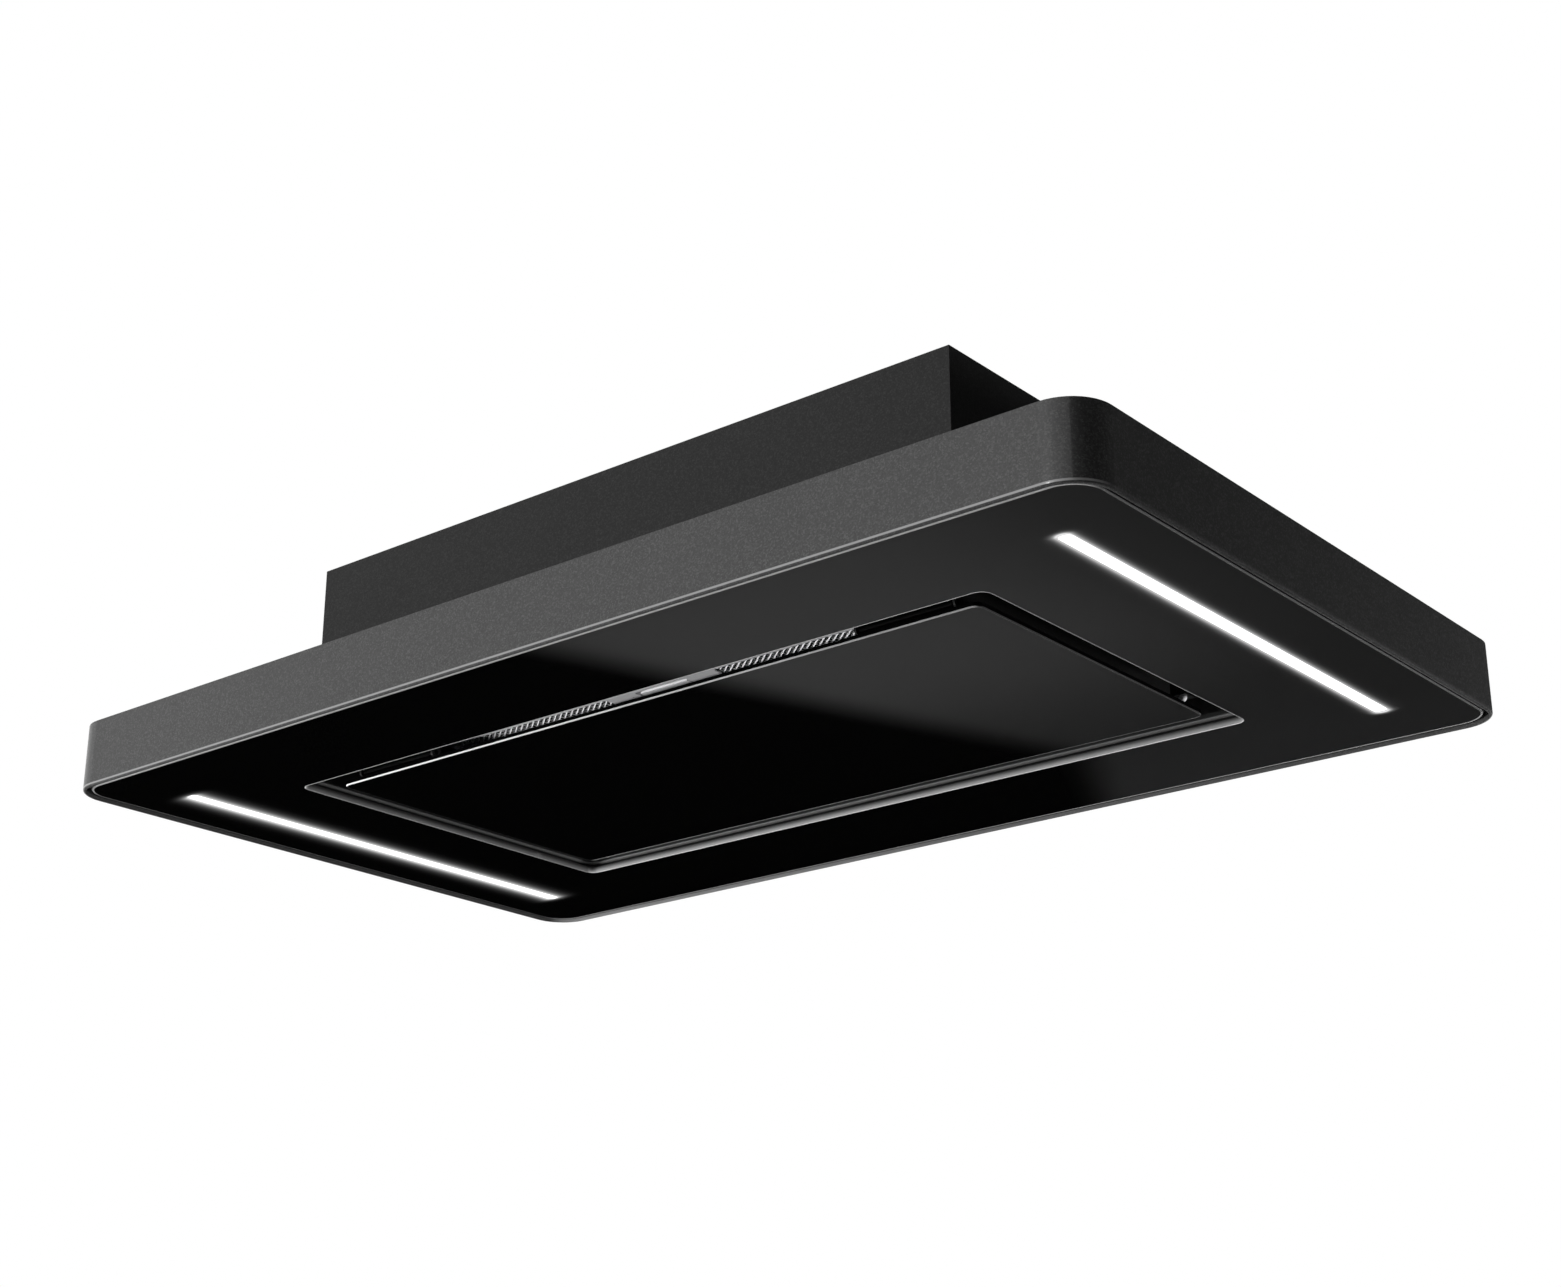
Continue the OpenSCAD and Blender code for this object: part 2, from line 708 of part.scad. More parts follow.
// The steel drip tray bonded on the panel, with pressed beads and two tabs for the studs
module drip_tray() {
    color([0.30, 0.30, 0.31]) union() {
        difference() {
            slab(tray_l, tray_d, tray_r, panel_top_z, tray_h);
            slab(tray_l - 2 * tray_t, tray_d - 2 * tray_t, tray_r - tray_t, panel_top_z + tray_t, tray_h);
        }
        intersection() {
            slab(tray_l * bead_share, tray_d, tray_r, panel_top_z + tray_t / 2, tray_h);
            for (p = bead_places)
                translate([-tray_l / 2, p * tray_d, panel_top_z + tray_t + bead_h - bead_r])
                    rotate([0, 90, 0]) cylinder(r = bead_r, h = tray_l);
        }
        for (s = [0, 1]) mirror([s, 0, 0]) span([stud_x - tab_run, tray_d / 2 - tray_t, panel_top_z],
            [stud_x + tab_w / 2, stud_y + tab_w / 2, panel_top_z + tray_t]);
    }
}

// One hinge leaf on the panel, with its barrel along the hinge axis
module hinge_leaf(x) {
    color([0.62, 0.62, 0.64]) translate([x - hinge_l / 2, 0, 0]) difference() {
        union() {
            span([0, leaf_y0, panel_top_z], [hinge_l, leaf_y1, panel_top_z + leaf_t]);
            span([0, axis_y - barrel_r / 2, panel_top_z], [hinge_l, axis_y + barrel_r / 2, axis_z]);
            translate([0, axis_y, axis_z]) rotate([0, 90, 0]) cylinder(r = barrel_r, h = hinge_l);
        }
        translate([-over, axis_y, axis_z]) rotate([0, 90, 0]) cylinder(r = pin_r + pin_fit, h = hinge_l + 2 * over);
    }
}
module hinge_leaf_left() { hinge_leaf(-hinge_x); }
module hinge_leaf_right() { hinge_leaf(hinge_x); }

// One hinge bracket: a plate under the deck with two ears that hold the pin
module hinge_bracket(x) {
    color([0.10, 0.10, 0.105]) translate([x, 0, 0]) difference() {
        union() {
            span([-hinge_l / 2 - side_gap - bracket_t, axis_y - bracket_d / 2, deck_z - bracket_t],
                [hinge_l / 2 + side_gap + bracket_t, axis_y + bracket_d / 2, deck_z]);
            for (s = [-1, 1]) translate([s * (hinge_l / 2 + side_gap + bracket_t / 2) - bracket_t / 2, axis_y, 0]) {
                span([0, -ear_r, axis_z], [bracket_t, ear_r, deck_z]);
                translate([0, 0, axis_z]) rotate([0, 90, 0]) cylinder(r = ear_r, h = bracket_t);
            }
        }
        translate([-hinge_l, axis_y, axis_z]) rotate([0, 90, 0]) cylinder(r = pin_r, h = 2 * hinge_l);
        for (s = [-1, 1]) translate([s * bracket_screw_x, axis_y, deck_z - bracket_t - over])
            cylinder(r = hole_r, h = bracket_t + 2 * over);
    }
}
module hinge_bracket_left() { hinge_bracket(-hinge_x); }
module hinge_bracket_right() { hinge_bracket(hinge_x); }

// The two hinge pins
module hinge_pins() {
    pin_l = hinge_l + 2 * (side_gap + bracket_t);
    color([0.8, 0.8, 0.82]) for (s = [-1, 1])
        translate([s * hinge_x - pin_l / 2, axis_y, axis_z]) rotate([0, 90, 0]) cylinder(r = pin_r, h = pin_l);
}

// The screws that hold the hinge brackets to the deck
module hinge_screws() {
    color([0.75, 0.75, 0.77]) for (s = [-1, 1], x = [-1, 1])
        translate([s * hinge_x + x * bracket_screw_x, axis_y, 0])
            screw_up(deck_z - bracket_t, bracket_t + deck_t + shank_past);
}

// The ball studs on the panel
module ball_studs() {
    color([0.9, 0.9, 0.92]) for (s = [-1, 1]) translate([s * stud_x, stud_y, panel_top_z + tray_t]) {
        cylinder(r = stud_base_r, h = stud_base_h);
        cylinder(r = stem_r, h = ball_rise - tray_t);
        translate([0, 0, ball_rise - tray_t]) sphere(r = ball_r);
    }
}

// The nylon sockets under the deck that the balls snap into
module catch_sockets() {
    color([0.06, 0.06, 0.06]) for (s = [-1, 1]) translate([s * stud_x, stud_y, 0]) difference() {
        span([-socket_w / 2, -socket_w / 2, ball_z + seat_gap], [socket_w / 2, socket_w / 2, deck_z]);
        translate([0, 0, ball_z - over]) cylinder(r = socket_bore_r, h = ball_r + over + fit);
        for (a = [0, 90]) rotate([0, 0, a])
            span([-socket_w, -socket_slit / 2, ball_z - over], [socket_w, socket_slit / 2, ball_z + ball_r]);
    }
}

// One light diffuser: a nose that fills the window in the glass and a lip above the glass
module led_diffuser(x) {
    color([0.95, 0.95, 0.93]) translate([x, 0, 0]) union() {
        slab(nose_w, nose_l, window_r - fit, glass_bot_z + diffuser_recess, glass_t);
        slab(lip_w, lip_l, window_r, glass_top_z, diffuser_lip_t);
    }
}
module led_diffuser_left() { led_diffuser(-led_x); }
module led_diffuser_right() { led_diffuser(led_x); }

// One aluminium light channel, open downwards, whose feet rest on the carrier
module led_channel(x) {
    color([0.72, 0.73, 0.75]) translate([x, 0, 0]) difference() {
        union() {
            span([-channel_w / 2, -channel_l / 2, glass_top_z], [channel_w / 2, channel_l / 2, channel_top_z]);
            span([-channel_w / 2 - channel_foot_w, -channel_l / 2, carrier_top_z],
                [channel_w / 2 + channel_foot_w, channel_l / 2, carrier_top_z + channel_t]);
        }
        span([-channel_w / 2 + channel_t, -channel_l / 2 + channel_t, glass_top_z - over],
            [channel_w / 2 - channel_t, channel_l / 2 - channel_t, channel_top_z - channel_t]);
    }
}
module led_channel_left() { led_channel(-led_x); }
module led_channel_right() { led_channel(led_x); }

// One light board with its row of chips, under the roof of the channel
module led_board(x) {
    board_z = channel_top_z - channel_t - board_t;
    pitch = nose_l / chip_n;
    color([0.9, 0.9, 0.85]) translate([x, 0, 0]) union() {
        span([-board_w / 2, -nose_l / 2, board_z], [board_w / 2, nose_l / 2, board_z + board_t]);
        for (i = [0 : chip_n - 1]) translate([0, (i + 0.5) * pitch - nose_l / 2, 0])
            span([-chip_w / 2, -chip_w / 2, board_z - chip_t], [chip_w / 2, chip_w / 2, board_z]);
    }
}
module led_board_left() { led_board(-led_x); }
module led_board_right() { led_board(led_x); }

// The power supply of the lights, screwed to the carrier behind the recess
module led_driver() {
    color([0.85, 0.85, 0.86]) translate([0, driver_y, 0]) union() {
        slab(supply_l, supply_d, driver_r, carrier_top_z, supply_h);
        difference() {
            slab(supply_l + 2 * driver_ear_w, supply_d / 2, driver_r, carrier_top_z, driver_ear_t);
            for (s = [-1, 1]) translate([s * driver_screw_x, 0, carrier_top_z - over])
                cylinder(r = hole_r, h = driver_ear_t + 2 * over);
        }
    }
}

// The screws that hold the driver to the carrier
module driver_screws() {
    color([0.75, 0.75, 0.77]) for (s = [-1, 1]) translate([s * driver_screw_x, driver_y, 0])
        screw_down(carrier_top_z + driver_ear_t, driver_ear_t + carrier_t + shank_past / 2);
}

// The aluminium cassette: a box with a mesh window on each side of a plain band
module filter_frame() {
    color([0.76, 0.77, 0.79]) difference() {
        union() {
            difference() {
                slab(filter_l, filter_d, filter_r, filter_bot_z, filter_t);
                slab(filter_l - 2 * filter_sheet_t, filter_d - 2 * filter_sheet_t, filter_r - filter_sheet_t,
                    filter_bot_z + filter_sheet_t, filter_t - 2 * filter_sheet_t);
                for (s = [-1, 1]) translate([s * window_x, 0, 0])
                    slab(window_l, window_d, filter_r, filter_bot_z - over, filter_t + 2 * over);
            }
            for (s = [-1, 1]) translate([s * divider_x, 0, 0])
                span([-filter_sheet_t / 2, -filter_d / 2 + filter_sheet_t / 2, filter_bot_z + filter_sheet_t / 2],
                    [filter_sheet_t / 2, filter_d / 2 - filter_sheet_t / 2, filter_top_z - filter_sheet_t / 2]);
            translate([0, cup_y, 0]) slab(cup_l + 2 * filter_sheet_t, cup_d + 2 * filter_sheet_t, filter_r,
                filter_bot_z, cup_h + filter_sheet_t);
            for (s = [-1, 1]) span(
                [s * tab_x - tab_l / 2, filter_d / 2 - filter_sheet_t, deck_top_z + seat_gap],
                [s * tab_x + tab_l / 2, filter_d / 2 + tab_reach, deck_top_z + seat_gap + filter_sheet_t]);
        }
        translate([0, cup_y, 0]) slab(cup_l, cup_d, filter_r - filter_sheet_t, filter_bot_z - over, cup_h + over);
        span([-neck_l / 2 - fit, bar_y - neck_w / 2 - fit, filter_bot_z],
            [neck_l / 2 + fit, bar_y + neck_w / 2 + latch_travel + fit, filter_top_z - 2 * filter_sheet_t]);
        span([-bolt_w / 2 - fit, -filter_d / 2 - over, deck_top_z],
            [bolt_w / 2 + fit, -filter_d / 2 + filter_sheet_t + over, latch_plate_z + latch_plate_t + fit]);
        span([t_slot_x - t_slot_l / 2, cup_y - t_slot_w / 2, filter_bot_z - over],
            [t_slot_x + t_slot_l / 2, cup_y + t_slot_w / 2, filter_bot_z + filter_sheet_t + over]);
        span([t_slot_x - t_slot_w / 2, cup_y - t_slot_l / 2, filter_bot_z - over],
            [t_slot_x + t_slot_w / 2, cup_y, filter_bot_z + filter_sheet_t + over]);
    }
}

// The two mesh packs inside the cassette, as a lattice of diamonds
module mesh_pack() {
    linear_extrude(mesh_t) difference() {
        square([window_l + 2 * mesh_lap, window_d + 2 * mesh_lap], center = true);
        for (i = [0 : mesh_nx - 1], j = [0 : mesh_ny - 1])
            translate([(i + 0.5) * cell_x - window_l / 2, (j + 0.5) * cell_y - window_d / 2])
                polygon([[strand_w / 2 - cell_x / 2, 0], [0, strand_w - cell_y / 2],
                    [cell_x / 2 - strand_w / 2, 0], [0, cell_y / 2 - strand_w]]);
    }
}
module filter_mesh() {
    color([0.70, 0.71, 0.72]) for (s = [-1, 1])
        translate([s * window_x, 0, filter_bot_z + filter_sheet_t]) mesh_pack();
}

// The sliding latch: a finger bar in the cup and a bolt that reaches over the deck
module filter_latch() {
    color([0.82, 0.83, 0.85]) union() {
        span([-bar_l / 2, bar_y - bar_w / 2, filter_bot_z + fit],
            [bar_l / 2, bar_y + bar_w / 2, cup_top_z - 2 * fit]);
        span([-neck_l / 2, bar_y - neck_w / 2, filter_bot_z + cup_h / 2],
            [neck_l / 2, bar_y + neck_w / 2, latch_plate_z + latch_plate_t]);
        span([-bolt_w / 2, -filter_d / 2 + filter_sheet_t + fit, latch_plate_z],
            [bolt_w / 2, bar_y + neck_w / 2, latch_plate_z + latch_plate_t]);
        span([-bolt_w / 2, -filter_d / 2 - bolt_reach, deck_top_z + seat_gap],
            [bolt_w / 2, -filter_d / 2 + filter_sheet_t + fit, latch_plate_z + latch_plate_t]);
    }
}

// Places of the blower's axis and of its four feet
module at_blower() {
    translate([blower_x, blower_y, 0]) children();
}
function spiral_r(a) = scroll_r0 + (scroll_r1 - scroll_r0) * (a - tongue_a) / (turn_end_a - tongue_a);
function spiral(inset) = [for (i = [0 : spiral_steps])
    let (a = tongue_a + (turn_end_a - tongue_a) * i / spiral_steps) (spiral_r(a) - inset) * [cos(a), sin(a)]];
function reversed(v) = [for (i = [len(v) - 1 : -1 : 0]) v[i]];
module at_feet() {
    at_blower() for (a = foot_angles) rotate([0, 0, a]) translate([spiral_r(a) + foot_reach, 0, 0]) children();
}

// The scroll's plan, with its straight throat, and the plan of its wall
module scroll_plan() {
    throat_l = blower_x - throat_end_x;
    polygon(concat(spiral(0), [[-throat_l, scroll_r1], [-throat_l, tongue_y - scroll_t]]));
}
module scroll_wall_plan() {
    throat_l = blower_x - throat_end_x;
    polygon(concat(spiral(0), reversed(spiral(scroll_t))));
    translate((scroll_r0 - scroll_t) * [cos(tongue_a), sin(tongue_a)]) circle(r = scroll_t);
    translate([-throat_l, scroll_r1 - scroll_t]) square([throat_l, scroll_t]);
    translate([-throat_l, tongue_y - scroll_t])
        square([throat_l + (scroll_r0 - scroll_t) * cos(tongue_a), scroll_t]);
}

// The lower half of the blower: floor, spiral wall and four feet
module scroll_body() {
    color([0.60, 0.61, 0.63]) difference() {
        union() {
            at_blower() translate([0, 0, scroll_floor_z]) linear_extrude(scroll_t) scroll_plan();
            at_blower() translate([0, 0, scroll_floor_z]) linear_extrude(scroll_h - scroll_t) scroll_wall_plan();
            at_feet() translate([0, 0, scroll_floor_z]) linear_extrude(scroll_t) union() {
                circle(r = foot_r);
                translate([-foot_r, -foot_r]) square([foot_r, 2 * foot_r]);
            }
        }
        at_blower() translate([0, 0, scroll_floor_z - over])
            cylinder(r = throat_r + flare_r, h = scroll_t + 2 * over);
        at_feet() translate([0, 0, scroll_floor_z - over]) cylinder(r = hole_r, h = scroll_t + 2 * over);
    }
}

// The blower's cover, which holds the motor
module scroll_cover() {
    color([0.60, 0.61, 0.63]) at_blower() difference() {
        translate([0, 0, scroll_top_z - scroll_t]) linear_extrude(scroll_t) scroll_plan();
        translate([0, 0, scroll_top_z - scroll_t - over]) cylinder(r = motor_r + fit, h = scroll_t + 2 * over);
    }
}

// The flared inlet ring on the scroll's floor, which leads air into the impeller's eye
module inlet_ring() {
    flare_z = scroll_floor_z + scroll_t + flare_r;
    color([0.66, 0.67, 0.69]) at_blower() rotate_extrude() {
        intersection() {
            translate([throat_r, flare_z - flare_r]) square([flare_r, flare_r]);
            translate([throat_r + flare_r, flare_z]) difference() {
                circle(r = flare_r);
                circle(r = flare_r - scroll_t);
            }
        }
        translate([throat_r + flare_r, flare_z - flare_r]) square([ring_flange_w, scroll_t]);
        translate([throat_r, flare_z]) square([scroll_t, ring_lip_h]);
    }
}

// The foam ring between the top plate and the scroll
module inlet_seal() {
    color([0.12, 0.12, 0.12]) at_blower()
        tube(plate_hole_r + foam_gap + foam_w, plate_hole_r + foam_gap, plate_top_z, mount_h);
}

// The forward-curved impeller: hub disc, blades and shroud ring
module blade_plan() {
    intersection() {
        difference() {
            circle(r = impeller_r - shroud_w / 2);
            circle(r = eye_r);
        }
        translate([eye_r + blade_t, blade_curve_r]) difference() {
            circle(r = blade_curve_r + blade_t / 2);
            circle(r = blade_curve_r - blade_t / 2);
        }
        translate([eye_r + blade_t, -blade_t]) square(blade_curve_r + blade_t);
    }
}
module impeller() {
    color([0.25, 0.26, 0.28]) at_blower() difference() {
        union() {
            translate([0, 0, impeller_top_z - disc_t]) cylinder(r = impeller_r, h = disc_t);
            translate([0, 0, impeller_top_z - boss_h]) cylinder(r = boss_r, h = boss_h);
            tube(impeller_r + shroud_w / 2, impeller_r - shroud_w, impeller_z, shroud_h);
            translate([0, 0, impeller_z]) linear_extrude(impeller_h - disc_t / 2)
                for (i = [0 : blade_n - 1]) rotate(i * 360 / blade_n) blade_plan();
        }
        translate([0, 0, impeller_top_z - boss_h - over])
            cylinder(r = shaft_r, h = boss_h + 2 * over);
    }
}

// The motor, which hangs in the cover by its flange
module motor() {
    color([0.45, 0.46, 0.48]) at_blower() difference() {
        union() {
            translate([0, 0, motor_z]) cylinder(r = motor_r, h = motor_h);
            translate([0, 0, scroll_top_z]) cylinder(r = motor_flange_r, h = motor_flange_t);
        }
        translate([0, 0, motor_z - over]) cylinder(r = shaft_r + pin_fit, h = motor_h - shaft_end_gap + over);
        for (i = [0 : vent_n - 1]) rotate([0, 0, i * 360 / vent_n]) translate([motor_r, 0, motor_z + motor_h - vent_h])
            cylinder(d = vent_w, h = vent_h + over);
    }
}
module motor_shaft() {
    color([0.8, 0.8, 0.82]) at_blower() translate([0, 0, impeller_top_z - boss_h])
        cylinder(r = shaft_r, h = motor_z - impeller_top_z + boss_h + motor_h - 2 * shaft_end_gap);
}

// The rubber mounts under the blower's feet, and their screws
module blower_mounts() {
    color([0.05, 0.05, 0.05]) at_feet() tube(mount_r, hole_r, plate_top_z, mount_h);
}
module blower_screws() {
    color([0.75, 0.75, 0.77]) at_feet()
        screw_down(scroll_floor_z + scroll_t, scroll_t + mount_h + plate_t + shank_past);
}

// The adaptor from the scroll's rectangular throat to the round duct collar
module adaptor_form(inset, past) {
    throat_y0 = blower_y + tongue_y - scroll_t;
    hull() {
        translate([throat_end_x - slice, throat_y0 + inset, scroll_floor_z + inset])
            cube([slice + past, blower_y + scroll_r1 - throat_y0 - 2 * inset, scroll_h - 2 * inset]);
        translate([collar_in_x - past, collar_y, collar_z]) rotate([0, 90, 0])
            cylinder(r = collar_r - inset, h = slice + past, $fn = 48);
    }
}
module outlet_adaptor() {
    color([0.12, 0.12, 0.13]) difference() {
        adaptor_form(0, 0);
        adaptor_form(collar_t, over);
    }
}

// The round duct collar through the motor box's wall
module duct_collar() {
    color([0.12, 0.12, 0.13]) difference() {
        translate([0, collar_y, collar_z]) rotate([0, 90, 0]) difference() {
            union() {
                translate([0, 0, collar_out_x]) cylinder(r = collar_r, h = collar_out_l + collar_in_l);
                translate([0, 0, wall_x - collar_flange_t])
                    cylinder(r = collar_r + collar_flange_w, h = collar_flange_t);
            }
            translate([0, 0, collar_out_x - over])
                cylinder(r = collar_r - collar_t, h = collar_out_l + collar_in_l + 2 * over);
        }
        damper_pin_form();
    }
}

// The pin and the two half-round flaps that stop air coming back
module damper_pin() {
    color([0.8, 0.8, 0.82]) damper_pin_form();
}
module damper_pin_form() {
    pin_half = collar_r - collar_t / 2;
    translate([damper_x, collar_y, collar_z - pin_half]) cylinder(r = damper_pin_r, h = 2 * pin_half);
}
module damper_flap() {
    difference() {
        union() {
            intersection() {
                rotate([0, 90, 0]) translate([0, 0, -flap_t / 2]) cylinder(r = flap_r, h = flap_t);
                span([-flap_t, flap_root, -flap_r], [flap_t, flap_r, flap_r]);
            }
            for (z = knuckle_places) translate([0, 0, z + knuckle_gap / 2]) {
                cylinder(r = knuckle_r, h = knuckle_l - knuckle_gap);
                span([-flap_t / 2, 0, 0], [flap_t / 2, flap_root + flap_t, knuckle_l - knuckle_gap]);
            }
        }
        translate([0, 0, -flap_r]) cylinder(r = damper_pin_r + pin_fit, h = 2 * flap_r);
    }
}
module damper_flap_far() {
    color([0.75, 0.76, 0.78]) translate([damper_x, collar_y, collar_z]) damper_flap();
}
module damper_flap_near() {
    color([0.75, 0.76, 0.78]) translate([damper_x, collar_y, collar_z]) rotate([180, 0, 0]) damper_flap();
}

// The control box: tray, cover and circuit board
module control_tray() {
    color([0.86, 0.86, 0.84]) translate([control_x, control_y, 0]) union() {
        difference() {
            slab(control_l, control_d, control_r, plate_top_z, control_tray_h);
            slab(control_l - 2 * control_t, control_d - 2 * control_t, control_r - control_t,
                plate_top_z + control_t, control_tray_h);
        }
        for (x = [-1, 1], y = [-1, 1])
            translate([x * (control_l / 2 - 2 * control_r), y * (control_d / 2 - 2 * control_r), plate_top_z])
                cylinder(r = standoff_r, h = control_t + standoff_h);
    }
}
module control_cover() {
    color([0.86, 0.86, 0.84]) translate([control_x, control_y, 0]) difference() {
        slab(control_l, control_d, control_r, plate_top_z + control_tray_h, control_cover_h);
        slab(control_l - 2 * control_t, control_d - 2 * control_t, control_r - control_t,
            plate_top_z + control_tray_h - control_t, control_cover_h);
    }
}
module circuit_board() {
    pcb_z = plate_top_z + control_t + standoff_h;
    pcb_l = control_l - 2 * (control_t + pcb_gap);
    pcb_d = control_d - 2 * (control_t + pcb_gap);
    color([0.10, 0.35, 0.18]) translate([control_x, control_y, pcb_z]) union() {
        span([-pcb_l / 2, -pcb_d / 2, 0], [pcb_l / 2, pcb_d / 2, pcb_t]);
        span([-pcb_l * 0.4, -pcb_d * 0.4, pcb_t], [-pcb_l * 0.1, -pcb_d * 0.1, control_tray_h]);
        for (i = [0 : 3]) span([pcb_l * 0.1, pcb_d * (0.2 * i - 0.4), pcb_t],
            [pcb_l * 0.35, pcb_d * (0.2 * i - 0.28), control_tray_h * 0.8]);
        for (i = [0, 1]) translate([-pcb_l * 0.25, pcb_d * (0.1 + 0.2 * i), pcb_t])
            cylinder(r = pcb_l * 0.07, h = control_tray_h);
    }
}

// The motor capacitor, lying in its clip on the top plate
module capacitor() {
    color([0.82, 0.83, 0.85]) translate([capacitor_x - capacitor_l / 2, capacitor_y, plate_top_z + clip_t + capacitor_r])
        rotate([0, 90, 0]) cylinder(r = capacitor_r, h = capacitor_l);
}
module capacitor_clip() {
    clip_r = capacitor_r + clip_t;
    color([0.55, 0.56, 0.58]) translate([capacitor_x - clip_w / 2, capacitor_y, plate_top_z]) difference() {
        union() {
            translate([0, 0, clip_r]) rotate([0, 90, 0]) cylinder(r = clip_r, h = clip_w);
            span([0, -clip_r - clip_foot, 0], [clip_w, clip_r + clip_foot, clip_t]);
            span([0, -clip_r, 0], [clip_w, clip_r, clip_r]);
        }
        translate([-over, 0, clip_r]) rotate([0, 90, 0]) cylinder(r = capacitor_r + pin_fit, h = clip_w + 2 * over);
        span([-over, -capacitor_r, clip_t], [clip_w + over, capacitor_r, clip_r]);
    }
}

// The mains cable's gland in the motor box's far wall, and its lock nut
module cable_gland() {
    color([0.10, 0.10, 0.10]) translate([gland_x, box_d / 2, gland_z]) rotate([-90, 0, 0]) difference() {
        union() {
            translate([0, 0, -gland_in_l]) cylinder(r = gland_r, h = gland_in_l + gland_hex_h);
            cylinder(r = gland_hex_r, h = gland_hex_h, $fn = 6);
            cylinder(r = gland_dome_r, h = gland_hex_h + gland_dome_h);
        }
        translate([0, 0, -gland_in_l - over])
            cylinder(r = gland_bore_r, h = gland_in_l + gland_hex_h + gland_dome_h + 2 * over);
    }
}
module gland_nut() {
    color([0.10, 0.10, 0.10]) translate([gland_x, box_d / 2 - box_t - gland_nut_h, gland_z]) rotate([-90, 0, 0])
        difference() {
            cylinder(r = gland_hex_r, h = gland_nut_h, $fn = 6);
            translate([0, 0, -over]) cylinder(r = gland_r + pin_fit, h = gland_nut_h + 2 * over);
        }
}

rim_housing();
top_plate();
box_top();
box_near_wall();
box_far_wall();
box_left_wall();
box_right_wall();
bottom_glass();
glass_seal();
recess_walls();
glass_carrier();
filter_deck();
suction_panel();
drip_tray();
hinge_leaf_left();
hinge_leaf_right();
hinge_bracket_left();
hinge_bracket_right();
hinge_pins();
hinge_screws();
ball_studs();
catch_sockets();
led_diffuser_left();
led_diffuser_right();
led_channel_left();
led_channel_right();
led_board_left();
led_board_right();
led_driver();
driver_screws();
filter_frame();
filter_mesh();
filter_latch();
scroll_body();
scroll_cover();
inlet_ring();
inlet_seal();
impeller();
motor();
motor_shaft();
blower_mounts();
blower_screws();
outlet_adaptor();
duct_collar();
damper_pin();
damper_flap_near();
damper_flap_far();
control_tray();
control_cover();
circuit_board();
capacitor();
capacitor_clip();
cable_gland();
gland_nut();
box_screws();
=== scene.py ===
import bpy
import numpy as np
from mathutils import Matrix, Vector


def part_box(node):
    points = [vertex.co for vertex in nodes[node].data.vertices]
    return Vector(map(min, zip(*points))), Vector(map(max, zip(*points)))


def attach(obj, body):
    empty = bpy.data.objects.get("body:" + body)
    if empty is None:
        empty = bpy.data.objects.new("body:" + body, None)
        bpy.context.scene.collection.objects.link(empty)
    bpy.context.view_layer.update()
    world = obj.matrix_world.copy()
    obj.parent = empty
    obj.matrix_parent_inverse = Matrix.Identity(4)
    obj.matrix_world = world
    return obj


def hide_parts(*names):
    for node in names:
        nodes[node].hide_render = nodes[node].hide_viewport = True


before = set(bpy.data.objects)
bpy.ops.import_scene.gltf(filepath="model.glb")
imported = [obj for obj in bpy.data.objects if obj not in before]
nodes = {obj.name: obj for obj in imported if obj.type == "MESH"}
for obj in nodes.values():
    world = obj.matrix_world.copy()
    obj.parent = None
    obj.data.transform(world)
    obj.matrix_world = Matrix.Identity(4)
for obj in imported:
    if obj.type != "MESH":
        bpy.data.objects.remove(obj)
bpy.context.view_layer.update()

# The camera stands low in front of the hood's near right corner and looks up under it, as
# someone at the cooktop would. Its place and lens were solved from the corners of the rim.
camera = bpy.data.objects.new("camera", bpy.data.cameras.new("camera"))
camera.data.lens = 56.8
camera.data.sensor_width = 36.0
camera.data.clip_end = 60.0
camera.location = (1.4402, -1.7083, -0.9508)
looks_along = Vector((-0.59536, 0.72197, 0.35258))
camera.rotation_euler = looks_along.to_track_quat("-Z", "Y").to_euler()
bpy.context.scene.collection.objects.link(camera)
bpy.context.scene.camera = camera
bpy.context.scene.view_settings.view_transform = "Standard"


